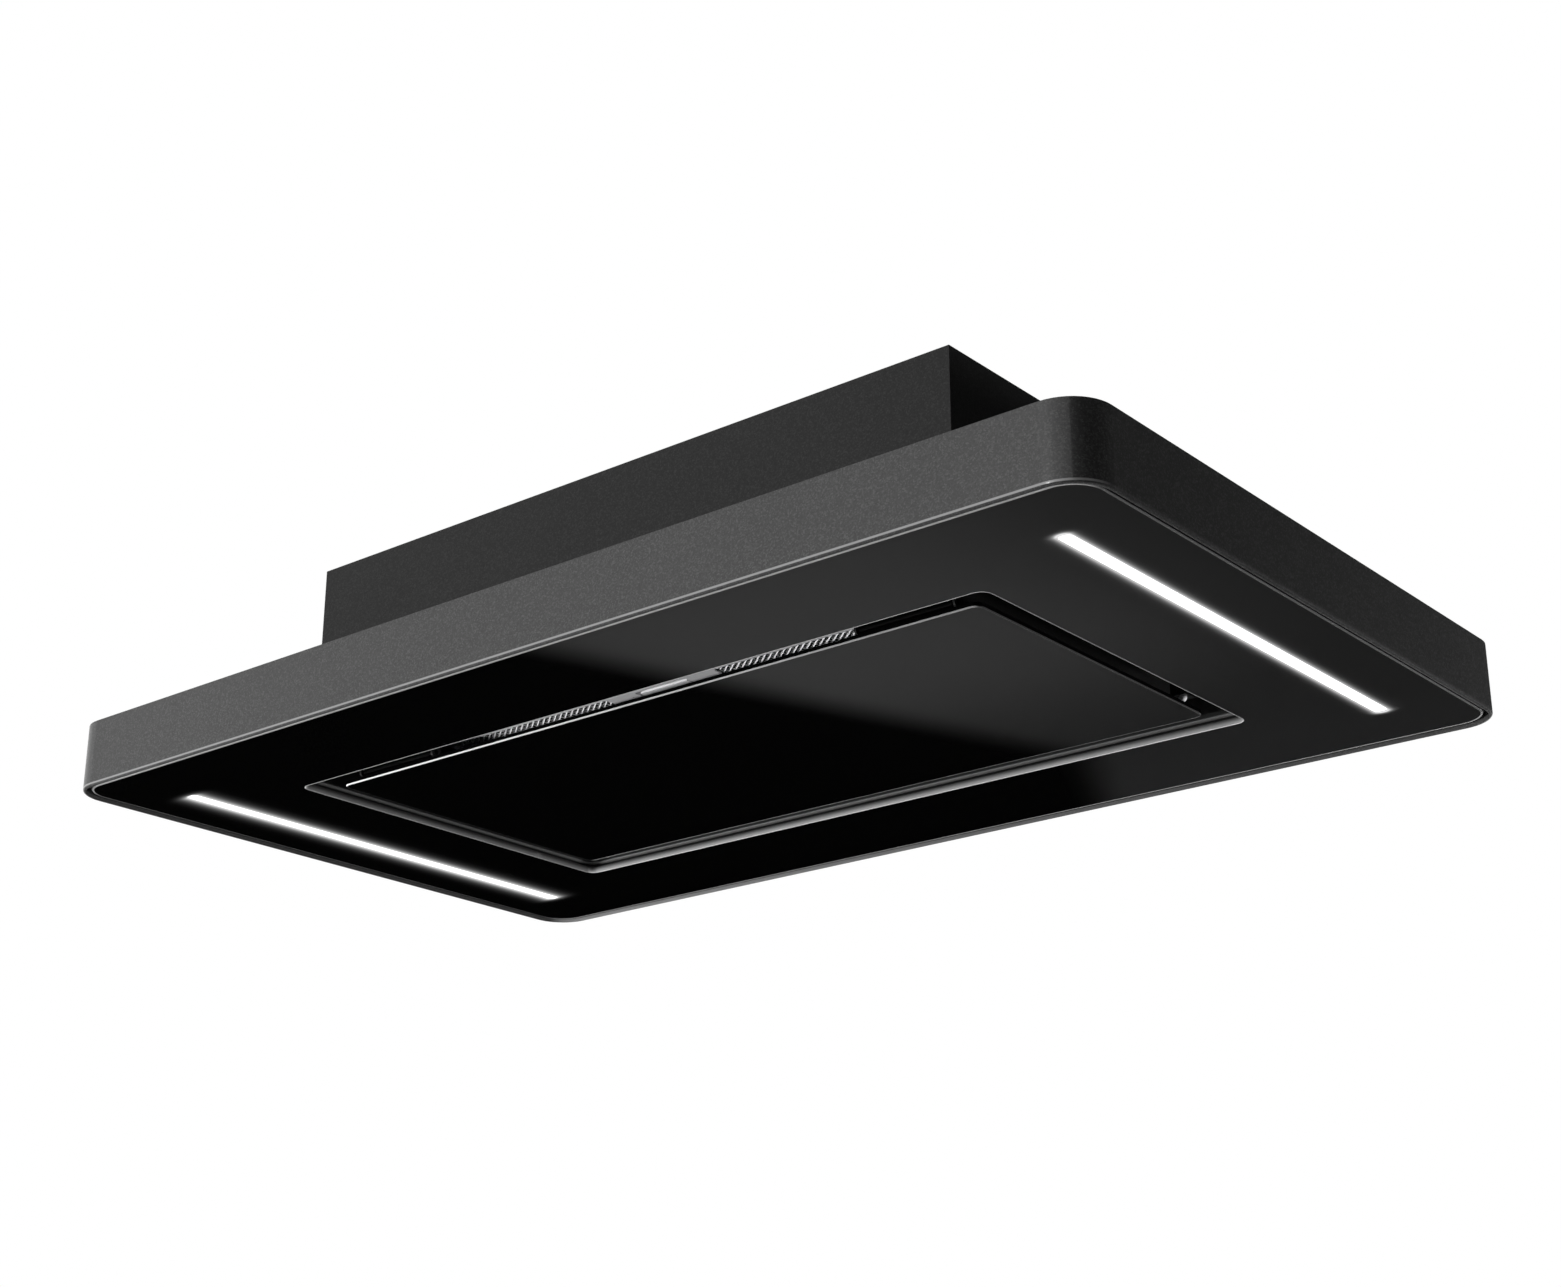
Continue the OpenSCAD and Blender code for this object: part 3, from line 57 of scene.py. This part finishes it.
# The rim is one strip of steel sheet, folded to a frame with round corners and hemmed inwards
# along its lower edge. A sprayed anthracite coat holds metal flakes of about a millimetre,
# under a clear coat. Along the hem a painted highlight pales the coat.
class Socket:
    """Wraps a node's output, so that a sum or product of sockets adds its Math node."""

    def __init__(self, tree, out):
        self.tree, self.out = tree, out

    def node(self, kind, settings=None, out=0, **values):
        """Adds a node: its settings first, then values or links by socket name, or number as i0."""
        made = self.tree.nodes.new(kind)
        for name, value in (settings or {}).items():
            setattr(made, name, value)
        for name, value in values.items():
            key = int(name[1:]) if name[0] == "i" and name[1:].isdigit() else name.replace("_", " ")
            if isinstance(value, Socket):
                self.tree.links.new(value.out, made.inputs[key])
            else:
                made.inputs[key].default_value = value
        return Socket(self.tree, made.outputs[out])

    def math(self, what, other=0.0):
        return self.node("ShaderNodeMath", {"operation": what}, i0=self, i1=other)

    def __add__(self, o): return self.math("ADD", o)
    def __mul__(self, o): return self.math("MULTIPLY", o)
    def __sub__(self, o): return self.math("SUBTRACT", o)
    def __rsub__(self, o): return (self * -1.0) + o
    def __neg__(self): return self * -1.0
    def __abs__(self): return self.math("ABSOLUTE")
    __radd__, __rmul__ = __add__, __mul__

    def above(self, edge, soft):
        """0 below edge - soft, 1 above edge + soft, and smooth in between."""
        return self.node("ShaderNodeMapRange", {"interpolation_type": "SMOOTHSTEP"},
                         Value=self, From_Min=edge - soft, From_Max=edge + soft)

    def mix(self, low, high):
        """The colour low where this is 0 and high where it is 1."""
        return self.node("ShaderNodeMix", {"data_type": "RGBA"}, out=2, i0=self, i6=low, i7=high)

    def noise(self, scale, detail=2.0):
        return self.node("ShaderNodeTexNoise", Vector=self, Scale=scale, Detail=detail)

    def bump(self, strength, height):
        return self.node("ShaderNodeBump", Strength=strength, Distance=0.0003, Height=height)


def finish_named(name):
    """A new material, with its shader, its place socket and that place split in X, Y and Z."""
    material = bpy.data.materials.new(name)
    material.use_nodes = True
    tree = material.node_tree
    place = Socket(tree, tree.nodes.new("ShaderNodeTexCoord").outputs["Object"])
    split = place.node("ShaderNodeSeparateXYZ", Vector=place).out.node
    x, y, z = (Socket(tree, out) for out in split.outputs)
    return material, tree.nodes["Principled BSDF"], place, x, y, z


def put(shader, **values):
    """Sets or links the shader's sockets by name."""
    for name, value in values.items():
        socket = shader.inputs[name.replace("_", " ")]
        if isinstance(value, Socket):
            value.tree.links.new(value.out, socket)
        else:
            socket.default_value = value


def dress(material, *names):
    """Gives CAD nodes their finish."""
    for name in names:
        data = nodes[name].data
        data.materials.clear()
        data.materials.append(material)


def grey(level):
    return (level, level, level, 1.0)


def flaked_paint(name, level, sparkle, rough, coat=0.0, gloss=0.5, hem=None):
    """Paint with flakes: one random shade per cell, raised to a power so that few cells shine."""
    flakes_per_metre, orange_peel, wide_drift, hem_highlight_shade = 850.0, 520.0, 6.0, 0.25
    material, shader, place, x, y, z = finish_named(name)
    flake = place.node("ShaderNodeTexVoronoi", {"feature": "F1"}, out=1,
                       Vector=place, Scale=flakes_per_metre)
    flake = flake.node("ShaderNodeSeparateColor", Color=flake).math("POWER", 3.0)
    cloud = place.noise(orange_peel)
    wide = place.noise(wide_drift)
    bright = (flake - 0.25) * sparkle + (cloud - 0.5) * sparkle + (wide - 0.5) * 0.10 + 0.5
    mask = bright.math("MINIMUM", 1.0).math("MAXIMUM", 0.0)
    shade = mask.mix(grey(level * 0.2), grey(level * 1.8))
    if hem:
        # Where hem gives 1, the shade turns pale grey as a painted highlight.
        shade = hem(x, y, z).mix(shade, grey(hem_highlight_shade))
    put(shader, Base_Color=shade, Metallic=0.2, Roughness=(cloud - 0.5) * 0.2 + rough,
        Specular_IOR_Level=gloss, Coat_Weight=coat, Coat_Roughness=0.12,
        Normal=place.bump(0.12, cloud))
    return material


def rounded_distance(x, y, half_l, half_d, r):
    """Distance outside a rounded rectangle: length(max(|p| - (half - r), 0)) - r."""
    dx = (abs(x) - (half_l - r)).math("MAXIMUM", 0.0)
    dy = (abs(y) - (half_d - r)).math("MAXIMUM", 0.0)
    return (dx * dx + dy * dy).math("SQRT") - r


rim_half_l, rim_half_d, rim_corner = 0.6, 0.35, 0.038
hem_turn_z, hem_top_z = -0.2234, -0.2222
hem_highlight_width, hem_highlight_half_height, hem_fold = 0.0012, 0.0009, 0.0016


def on_long_side(y):
    """1 along the two long sides of the rim and the glass, and 0 along the short ones."""
    return abs(y).above(0.325, 0.010)


def painted_hem_highlight(x, y, z):
    """A painted highlight: 1 on the hem's outer turn and, growing to the left, on the far hem's
    inside.
    """
    inwards = -rounded_distance(x, y, rim_half_l, rim_half_d, rim_corner)
    turn = 1.0 - abs(z - hem_turn_z).above(hem_highlight_half_height, 0.0003)
    outer = (1.0 - inwards.above(hem_highlight_width, 0.0002)) * turn * (on_long_side(y) * 0.93 + 0.07)
    inner = inwards.above(hem_fold, 0.0004) * (1.0 - z.above(hem_top_z, 0.0004))
    far = y.above(0.33, 0.008) * ((-x).above(0.0, 0.6) * 0.75 + 0.2)
    left_end = (-x).above(0.585, 0.008) * 0.2
    return outer.math("MAXIMUM", inner * far.math("MAXIMUM", left_end))


# The rim's hem carries a painted highlight.
dress(flaked_paint("anthracite_flake", 0.038, 0.55, 0.48, coat=0.45, gloss=0.25, hem=painted_hem_highlight),
      "rim_housing")

# The top plate and the motor box are folded from thinner sheet and screwed together. The box
# hangs from the ceiling by four bolts, and its coat is thinner, darker and more matt.
dress(flaked_paint("box_coat", 0.021, 0.42, 0.6, gloss=0.15),
      "box_top", "box_near_wall", "box_far_wall", "box_left_wall", "box_right_wall")
dress(flaked_paint("plate_coat", 0.075, 0.3, 0.55, gloss=0.3), "top_plate")


# The bottom is one pane of black glass. A ground line runs along its border and another round
# its opening, pale as ground glass is and further lit by painted highlight. Round its two light
# windows the glass has a painted glow, over a wider strip at the left, with rounder ends there.
glass_z, glass_edge_z = -0.2234, -0.2232
border_half_l, border_half_d, border_corner = 0.5927, 0.3427, 0.0307
border_line_in, border_line_half = 0.0022, 0.0011
opening_half_l, opening_half_d, opening_corner = 0.412, 0.208, 0.010
opening_line_width = 0.0015
light_x, window_half_l, window_half_w = 0.521, 0.261, 0.007
left_painted_glow = {"rounds_within": 0.0045, "squeeze": 2.5, "reach": 0.00105, "fall": -222.0}
right_painted_glow = {"rounds_within": 0.0010, "squeeze": 1.5, "reach": -0.00045, "fall": -457.0}


def painted_window_glow(x, y, z):
    """A painted glow: 1 on the windows and falling off exponentially with the distance outside
    them.
    """
    right = x.above(0.0, 0.1)

    def glow(what):
        return right * (right_painted_glow[what] - left_painted_glow[what]) + left_painted_glow[what]

    across = abs(abs(x) - light_x)
    beyond = (abs(y) - window_half_l + glow("rounds_within")).math("MAXIMUM", 0.0) * glow("squeeze")
    away = (across * across + beyond * beyond).math("POWER", 0.5) - window_half_w - glow("reach")
    halo = (away * glow("fall")).math("EXPONENT").math("MINIMUM", 1.0)
    return halo * (1.0 - z.above(glass_edge_z, 0.0002) * 0.5)


def black_glass(name, ground, shade, glow=0.0):
    """Polished black glass, paler where a mask of ground lines and painted highlight is set."""
    material, shader, place, x, y, z = finish_named(name)
    edge = ground(x, y, z)
    grain = place.noise(900.0)
    put(shader, Base_Color=edge.mix(grey(0.0015), grey(shade)), IOR=1.5,
        Roughness=edge * 0.25 + 0.02, Normal=place.bump(edge * 0.15, grain))
    # Painted glow: emission on the glass round the light windows.
    if glow:
        halo = painted_window_glow(x, y, z)
        put(shader, Emission_Color=halo.mix(grey(0.0), grey(glow)), Emission_Strength=1.0)
    return material


def ground_and_highlight_lines(x, y, z):
    """1 on the opening's edge and less on the border's line, both as painted highlight: less on
    the short sides, and less up the opening's side faces, which is painted shade.
    """
    from_line = rounded_distance(x, y, border_half_l, border_half_d, border_corner) + border_line_in
    border = 1.0 - abs(from_line).above(border_line_half, 0.0002)
    # Painted highlight: the border line is stronger along the long sides.
    border = border * (on_long_side(y) * 0.36 + 0.12)
    beside = rounded_distance(x, y, opening_half_l, opening_half_d, opening_corner)
    short_side = abs(x).above(opening_half_l - 0.0005, 0.0005)
    opening = (1.0 - beside.above(opening_line_width, 0.0002)) * (1.0 - short_side * 0.5)
    # Painted shade: the opening's side faces lose the line, most towards their top.
    edge_face = z.above(glass_edge_z, 0.0002) * 0.55 + z.above(glass_z + 0.0030, 0.0030) * 0.38
    return border.math("MAXIMUM", opening * (1.0 - edge_face))


dress(black_glass("black_pane", ground_and_highlight_lines, 0.8, glow=0.8), "bottom_glass")


# A ring of black bonding tape round the opening and one round the border hold the glass.
def matt_black(name, level, rough, scale):
    """Matt black with a fine skin, a little lighter and rougher where the noise is high."""
    material, shader, place, x, y, z = finish_named(name)
    skin = place.noise(scale, 3.0)
    put(shader, Base_Color=skin.mix(grey(level * 0.7), grey(level * 1.3)),
        Roughness=(skin - 0.5) * 0.2 + rough, Normal=place.bump(0.2, skin))
    return material


rubber = matt_black("black_rubber", 0.012, 0.75, 500.0)
dress(rubber, "glass_seal")

# The carrier and the deck are steel sheet in satin black. The recess walls between them have
# a rolled foot, lightened along a fine line by a painted highlight.
satin = matt_black("black_satin_coat", 0.016, 0.42, 900.0)
dress(satin, "glass_carrier", "filter_deck")


def foot_highlight(name, foot_z, foot_highlight_shade):
    """Satin black above foot_z, and paler below it: a painted highlight on the rolled foot."""
    material, shader, place, x, y, z = finish_named(name)
    skin = place.noise(900.0, 3.0)
    foot = 1.0 - z.above(foot_z, 0.0004)
    foot = foot * (skin * 0.5 + 0.6).math("MINIMUM", 1.0)
    put(shader, Base_Color=foot.mix(grey(0.016), grey(foot_highlight_shade)), Roughness=0.42 - foot * 0.1,
        Normal=place.bump(0.15, skin))
    return material


dress(foot_highlight("black_coat_foot_highlight", -0.2112, 0.12), "recess_walls")


# The suction panel is the same black glass. Only its lower arris is ground, to a fine line, and
# its sides are polished. A folded steel tray with pressed beads is bonded on its hidden side.
panel_half_l, panel_half_d, panel_corner = 0.386, 0.1785, 0.009
arris_z, arris_width = -0.2192, 0.0013


def ground_and_highlight_arris(x, y, z):
    """Ground lower arris with a painted highlight: strongest at left, weaker right, least on short
    sides.
    """
    outside = rounded_distance(x, y, panel_half_l, panel_half_d, panel_corner)
    long_side = abs(y).above(panel_half_d - 0.0025, 0.001)
    # Painted highlight, falling off from left to right and weakest on the short sides.
    arris_highlight = long_side * ((-x).above(0.05, 0.45) * 0.7 + 0.24) + 0.05
    return outside.above(-arris_width, 0.0001) * (1.0 - z.above(arris_z, 0.0001)) * arris_highlight


dress(black_glass("black_panel_pane", ground_and_highlight_arris, 0.9), "suction_panel")


def rolled_metal(name, shade, rough, stretch=30.0, wear=0.12, metal=1.0):
    """Bare metal with a fine grain along X, from noise stretched along it, and wide blotches."""
    material, shader, place, x, y, z = finish_named(name)
    along = place.node("ShaderNodeMapping", Vector=place, Scale=(1.0, stretch, stretch))
    grain = along.noise(60.0, 4.0)
    blotch = place.noise(25.0, 3.0)
    low = (shade * (1 - wear), shade * (1 - wear), shade * (1 - wear) * 1.01, 1.0)
    high = (shade, shade, shade * 1.015, 1.0)
    put(shader, Base_Color=blotch.mix(low, high), Metallic=metal,
        Roughness=(grain - 0.5) * 0.25 + (blotch - 0.5) * 0.15 + rough,
        Normal=place.bump(0.06, grain))
    return material


dress(rolled_metal("tray_steel", 0.45, 0.35), "drip_tray")

# Two hinges of plated steel carry the panel along its near edge: a leaf with a rolled
# barrel on the panel, and a black bracket with two ears under the deck. The leaves and pins
# are given a near-black colour as painted shade.
# Near-black steel: painted shade for the hinges and the deeper mesh layer.
shade_darkened_steel = rolled_metal("shade_darkened_steel", 0.018, 0.55)
dress(shade_darkened_steel, "hinge_leaf_left", "hinge_leaf_right", "hinge_pins")
dress(satin, "hinge_bracket_left", "hinge_bracket_right")
zinc = rolled_metal("zinc", 0.66, 0.3, stretch=1.0)
dress(zinc, "hinge_screws")

# Along the far edge two bright ball studs snap into nylon sockets under the deck.
# Near-white and mostly diffuse: a painted highlight standing in for the chrome's reflections.
bright = rolled_metal("chrome_with_painted_highlight", 0.98, 0.3, metal=0.1)
dress(bright, "ball_studs")
nylon = matt_black("black_nylon", 0.018, 0.5, 700.0)
dress(nylon, "catch_sockets")


# Each light is an opal diffuser in a window of the glass, lit by a board of chips inside an
# aluminium channel. It is brightest in its middle and falls off towards its edges.
diffuser_half_w, diffuser_half_l, diffuser_corner = 0.0067, 0.2607, 0.006


def opal(name, strength):
    """Milky plastic, lit at full strength inside and dim within a millimetre of its outline."""
    material, shader, place, x, y, z = finish_named(name)
    outside = rounded_distance(abs(x) - light_x, y, diffuser_half_w, diffuser_half_l,
                               diffuser_corner)
    centre = (-outside).above(0.0006, 0.0008)
    put(shader, Base_Color=grey(0.9), Roughness=(place.noise(40.0) - 0.5) * 0.1 + 0.4,
        Emission_Color=centre.mix(grey(0.12), grey(1.0)), Emission_Strength=strength)
    return material


def moulded(name, colour, rough):
    """Moulded plastic or laminate with a faint skin."""
    material, shader, place, x, y, z = finish_named(name)
    skin = place.noise(800.0)
    dark = tuple(c * 0.92 for c in colour[:3]) + (1.0,)
    put(shader, Base_Color=skin.mix(dark, colour), Roughness=(skin - 0.5) * 0.15 + rough,
        Normal=place.bump(0.1, skin))
    return material


dress(opal("opal_diffuser", 1.5), "led_diffuser_left", "led_diffuser_right")
dress(rolled_metal("channel_aluminium", 0.72, 0.35), "led_channel_left", "led_channel_right")
dress(moulded("white_laminate", (0.88, 0.88, 0.85, 1), 0.45), "led_board_left", "led_board_right")
white_plastic = moulded("white_moulding", (0.80, 0.80, 0.78, 1), 0.5)
dress(white_plastic, "led_driver")
dress(zinc, "driver_screws")

# The grease filter is a cassette of thin aluminium sheet with a plain band in its middle, and
# a finger bar in a cup that draws the latch back, near white as a painted highlight.
cassette = rolled_metal("filter_aluminium", 0.95, 0.38, metal=0.15)
dress(cassette, "filter_frame")
dress(bright, "filter_latch")


# On each side of the band lies expanded metal: slit sheet drawn out to diamonds, clamped in the
# cassette's border. Its two families of strands lean differently, one gently and one steeply.
# The lower layer is bright aluminium; the one behind it is near-black steel, as painted shade.
def closed_bars(name, starts, ends, width, thick, lean):
    """Capped bars with a rectangular profile, carried straight from each start to its end.
    The profile's two sides, across and up, are turned about the bar by the angle lean."""
    along = ends - starts
    along /= np.linalg.norm(along, axis=1, keepdims=True)
    across = np.cross(along, (0.0, 0.0, 1.0))
    across /= np.linalg.norm(across, axis=1, keepdims=True)
    up = np.cross(across, along)
    across, up = (across * np.cos(lean) + up * np.sin(lean),
                  up * np.cos(lean) - across * np.sin(lean))
    side, lift = np.array([-1, 1, 1, -1]) * width / 2, np.array([-1, -1, 1, 1]) * thick / 2
    profile = across[:, None] * side[:, None] + up[:, None] * lift[:, None]
    points = np.stack([starts[:, None] + profile, ends[:, None] + profile], axis=1).reshape(-1, 3)
    quads = [(k, k + 4, (k + 1) % 4 + 4, (k + 1) % 4) for k in range(4)]
    quads += [(0, 1, 2, 3), (7, 6, 5, 4)]
    faces = (np.arange(len(starts))[:, None, None] * 8 + np.array(quads)).reshape(-1, 4)
    mesh = bpy.data.meshes.new(name)
    mesh.from_pydata(points.tolist(), [], faces.tolist())
    piece = bpy.data.objects.new(name, mesh)
    bpy.context.scene.collection.objects.link(piece)
    return piece


def diamond_strands(x0, x1, y0, y1, z, rise, long_way, short_way):
    """Strands on a grid of half diamonds: from each point whose column and row add up to an
    even number, one leads a column and a row on, and one a column on and a row back. Every
    second row lies higher by rise."""
    nx, ny = 2 * round((x1 - x0) / long_way), 2 * round((y1 - y0) / short_way)
    i, j = np.meshgrid(np.arange(nx), np.arange(ny + 1), indexing="ij")
    even = (i + j) % 2 == 0

    def at(i, j):
        x, y = x0 + (x1 - x0) * i / nx, y0 + (y1 - y0) * j / ny
        return np.stack([x, y, z + rise * (j % 2)], axis=-1)

    up, down = even & (j < ny), even & (j > 0)
    starts = np.concatenate([at(i[up], j[up]), at(i[down], j[down])])
    ends = np.concatenate([at(i[up] + 1, j[up] + 1), at(i[down] + 1, j[down] - 1)])
    return starts, ends


drawn_mesh = rolled_metal("drawn_mesh", 0.9, 0.5, metal=0.0)
mesh_low, mesh_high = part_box("filter_mesh")
band_half = 0.0665
long_way, short_way, strand_rise = 0.0075, 0.0061, 0.0007
strand_width, strand_thick = 0.0018, 0.0004
lean_to_far, lean_to_near = -20.0, 60.0
lower_layer, upper_layer = (0.0006, 0.0), (0.0052, 0.0011)
for layer, (lift, inset) in enumerate((lower_layer, upper_layer)):
    sides = []
    for x0, x1 in ((mesh_low.x, -band_half), (band_half, mesh_high.x)):
        sides.append(diamond_strands(x0 + inset, x1 - inset, mesh_low.y + inset,
                                     mesh_high.y - inset, mesh_low.z + lift, strand_rise,
                                     long_way, short_way))
    starts, ends = (np.concatenate(part) for part in zip(*sides))
    to_far = ends[:, 1:2] > starts[:, 1:2]
    lean = np.radians(np.where(to_far, lean_to_far, lean_to_near))
    mesh_piece = closed_bars(f"expanded_mesh_{layer + 1}", starts, ends,
                             strand_width, strand_thick, lean)
    # The upper layer takes the near-black steel as painted shade.
    mesh_piece.data.materials.append(shade_darkened_steel if layer else drawn_mesh)
    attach(mesh_piece, "housing")
    if layer == 0:
        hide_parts("filter_mesh")

# The blower is a galvanised scroll with a spun inlet ring and a drum of curved blades, on an
# outer-rotor motor. It stands on four rubber mounts, and a felt ring seals its inlet.
galvanised = rolled_metal("galvanised", 0.58, 0.42, stretch=1.0, wear=0.3)
dress(galvanised, "scroll_body", "scroll_cover", "inlet_ring", "impeller")
dress(rubber, "inlet_seal", "blower_mounts")
dress(zinc, "blower_screws")
dress(rolled_metal("turned_steel", 0.55, 0.25), "motor_shaft")
dress(flaked_paint("motor_coat", 0.25, 0.05, 0.4), "motor")

# A moulded adaptor leads from the scroll's throat to a round collar, in which two aluminium
# flaps on one pin fall shut when the blower stops.
dress(nylon, "outlet_adaptor", "duct_collar")
dress(rolled_metal("flap_aluminium", 0.68, 0.4), "damper_flap_near", "damper_flap_far")
dress(shade_darkened_steel, "damper_pin")

# The control box is white plastic, with the board and the motor's capacitor beside the blower.
# The mains cable enters by a nylon gland.
dress(white_plastic, "control_tray", "control_cover")
dress(moulded("green_laminate", (0.05, 0.28, 0.12, 1), 0.35), "circuit_board")
dress(rolled_metal("drawn_can", 0.74, 0.3), "capacitor")
dress(galvanised, "capacitor_clip")
dress(nylon, "cable_gland", "gland_nut")
dress(zinc, "box_screws")


# The studio: soft lamps stand low in front at the left, straight in front and low at the right,
# and hang over the floor behind and overhead. The camera sees none of them, and the left and the
# right one leave no reflection either.
def soft_lamp(name, at, size, power, aim=(0.0, 0.0, -0.2), spread=3.14, shines=True):
    """A rectangular lamp that no camera sees; it shows in reflections only where shines is set."""
    lamp = bpy.data.objects.new(name, bpy.data.lights.new(name, "AREA"))
    lamp.data.shape = "RECTANGLE"
    lamp.data.size, lamp.data.size_y = size
    lamp.data.energy = power
    lamp.data.spread = spread
    lamp.location = at
    lamp.rotation_euler = (Vector(aim) - Vector(at)).to_track_quat("-Z", "Y").to_euler()
    lamp.visible_camera, lamp.visible_glossy = False, shines
    bpy.context.scene.collection.objects.link(lamp)


soft_lamp("key_lamp", (-2.6, -2.7, -1.457), (2.4, 0.11), 198.0, aim=(-2.6, 0.0, -0.12),
          shines=False)
soft_lamp("front_lamp", (0.2, -1.8, -0.1), (0.15, 0.9), 10.0)
soft_lamp("side_lamp", (1.5, 1.1, -0.85), (0.6, 0.2), 26.0, shines=False)
soft_lamp("floor_lamp", (-2.5, 3.2, -0.3), (1.6, 1.6), 1.2, aim=(-2.5, 3.2, -1.9), spread=0.8)
soft_lamp("top_lamp", (0.0, 0.1, 2.4), (0.5, 0.4), 7.0, spread=0.8)


# Two pale floors lie below the hood. The near one is for the hood alone, which takes light and
# reflections from it. The camera sees only the far one, so a view from underneath stays open.
def card(name, corners, material, camera=False, diffuse=False, glossy=True):
    """A flat card that throws no shadow and that only the rays set here can see."""
    plane = bpy.data.objects.new(name, bpy.data.meshes.new(name))
    plane.data.from_pydata(corners, [], [(0, 1, 2, 3)])
    bpy.context.scene.collection.objects.link(plane)
    plane.visible_camera, plane.visible_diffuse, plane.visible_glossy = camera, diffuse, glossy
    plane.visible_shadow = False
    plane.data.materials.append(material)


def level_square(half, z):
    """The corners of a level square at the height z, each half to a side of the middle."""
    return [(-half, -half, z), (half, -half, z), (half, half, z), (-half, half, z)]


near_floor_z, far_floor_z = -1.9, -3.5
pale, shader, place, x, y, z = finish_named("pale_floor")
put(shader, Base_Color=grey(0.8), Roughness=0.8)
card("near_floor", level_square(6, near_floor_z), pale, diffuse=True)

far_pale, shader, place, x, y, z = finish_named("lit_floor")
put(shader, Base_Color=grey(0.8), Roughness=0.8, Emission_Color=grey(1.0), Emission_Strength=0.88)
card("floor", level_square(60, far_floor_z), far_pale, camera=True, glossy=False)

# Black flags keep light off the glass, as a photographer would place them: one stands behind
# the hood, one at its right, and one lies on the near floor and fades out along its right edge.
# The glass shows that edge as the line where its sheen begins.
black, shader, place, x, y, z = finish_named("black_flag")
put(shader, Base_Color=grey(0.0), Roughness=1.0, Specular_IOR_Level=0.0)
card("back_flag", [(-1.5, 5.2, -1.0), (6, 5.2, -1.0), (6, 5.2, 6), (-1.5, 5.2, 6)], black)
card("side_flag", [(5, -6, -1.8), (5, 6, -1.8), (5, 6, 6), (5, -6, 6)], black)

fading, shader, place, x, y, z = finish_named("fading_flag")
put(shader, Base_Color=grey(0.0), Roughness=1.0, Specular_IOR_Level=0.0)
edge_x, edge_y, slant, bend_y, bend, fade_half = -3.11, 2.87, 0.345, 4.6, 0.85, 0.12
past_edge = x - edge_x - (y - edge_y) * slant + (y - bend_y).math("MAXIMUM", 0.0) * bend
tree = fading.node_tree
clear = tree.nodes.new("ShaderNodeBsdfTransparent")
blend = past_edge.node("ShaderNodeMixShader", i0=past_edge.above(0.0, fade_half),
                       i1=Socket(tree, shader.outputs[0]), i2=Socket(tree, clear.outputs[0]))
tree.links.new(blend.out, tree.nodes["Material Output"].inputs[0])
flag_z = near_floor_z + 0.01
card("floor_flag", [(-8, -1, flag_z), (-1.5, -1, flag_z), (-1.5, 8, flag_z), (-8, 8, flag_z)],
     fading)

# The world gives hardly any light of its own, but the camera, reflections and whatever is seen
# through glass find it white.
world = bpy.data.worlds.new("studio")
bpy.context.scene.world = world
world.use_nodes = True
back = world.node_tree.nodes["Background"]
path = world.node_tree.nodes.new("ShaderNodeLightPath")
seen, glossy, through = (Socket(world.node_tree, path.outputs[f"Is {kind} Ray"])
                         for kind in ("Camera", "Glossy", "Transmission"))
dim = 0.01
level = seen.math("MAXIMUM", glossy).math("MAXIMUM", through) * (1.0 - dim) + dim
world.node_tree.links.new(level.out, back.inputs["Strength"])
back.inputs["Color"].default_value = (1, 1, 1, 1)
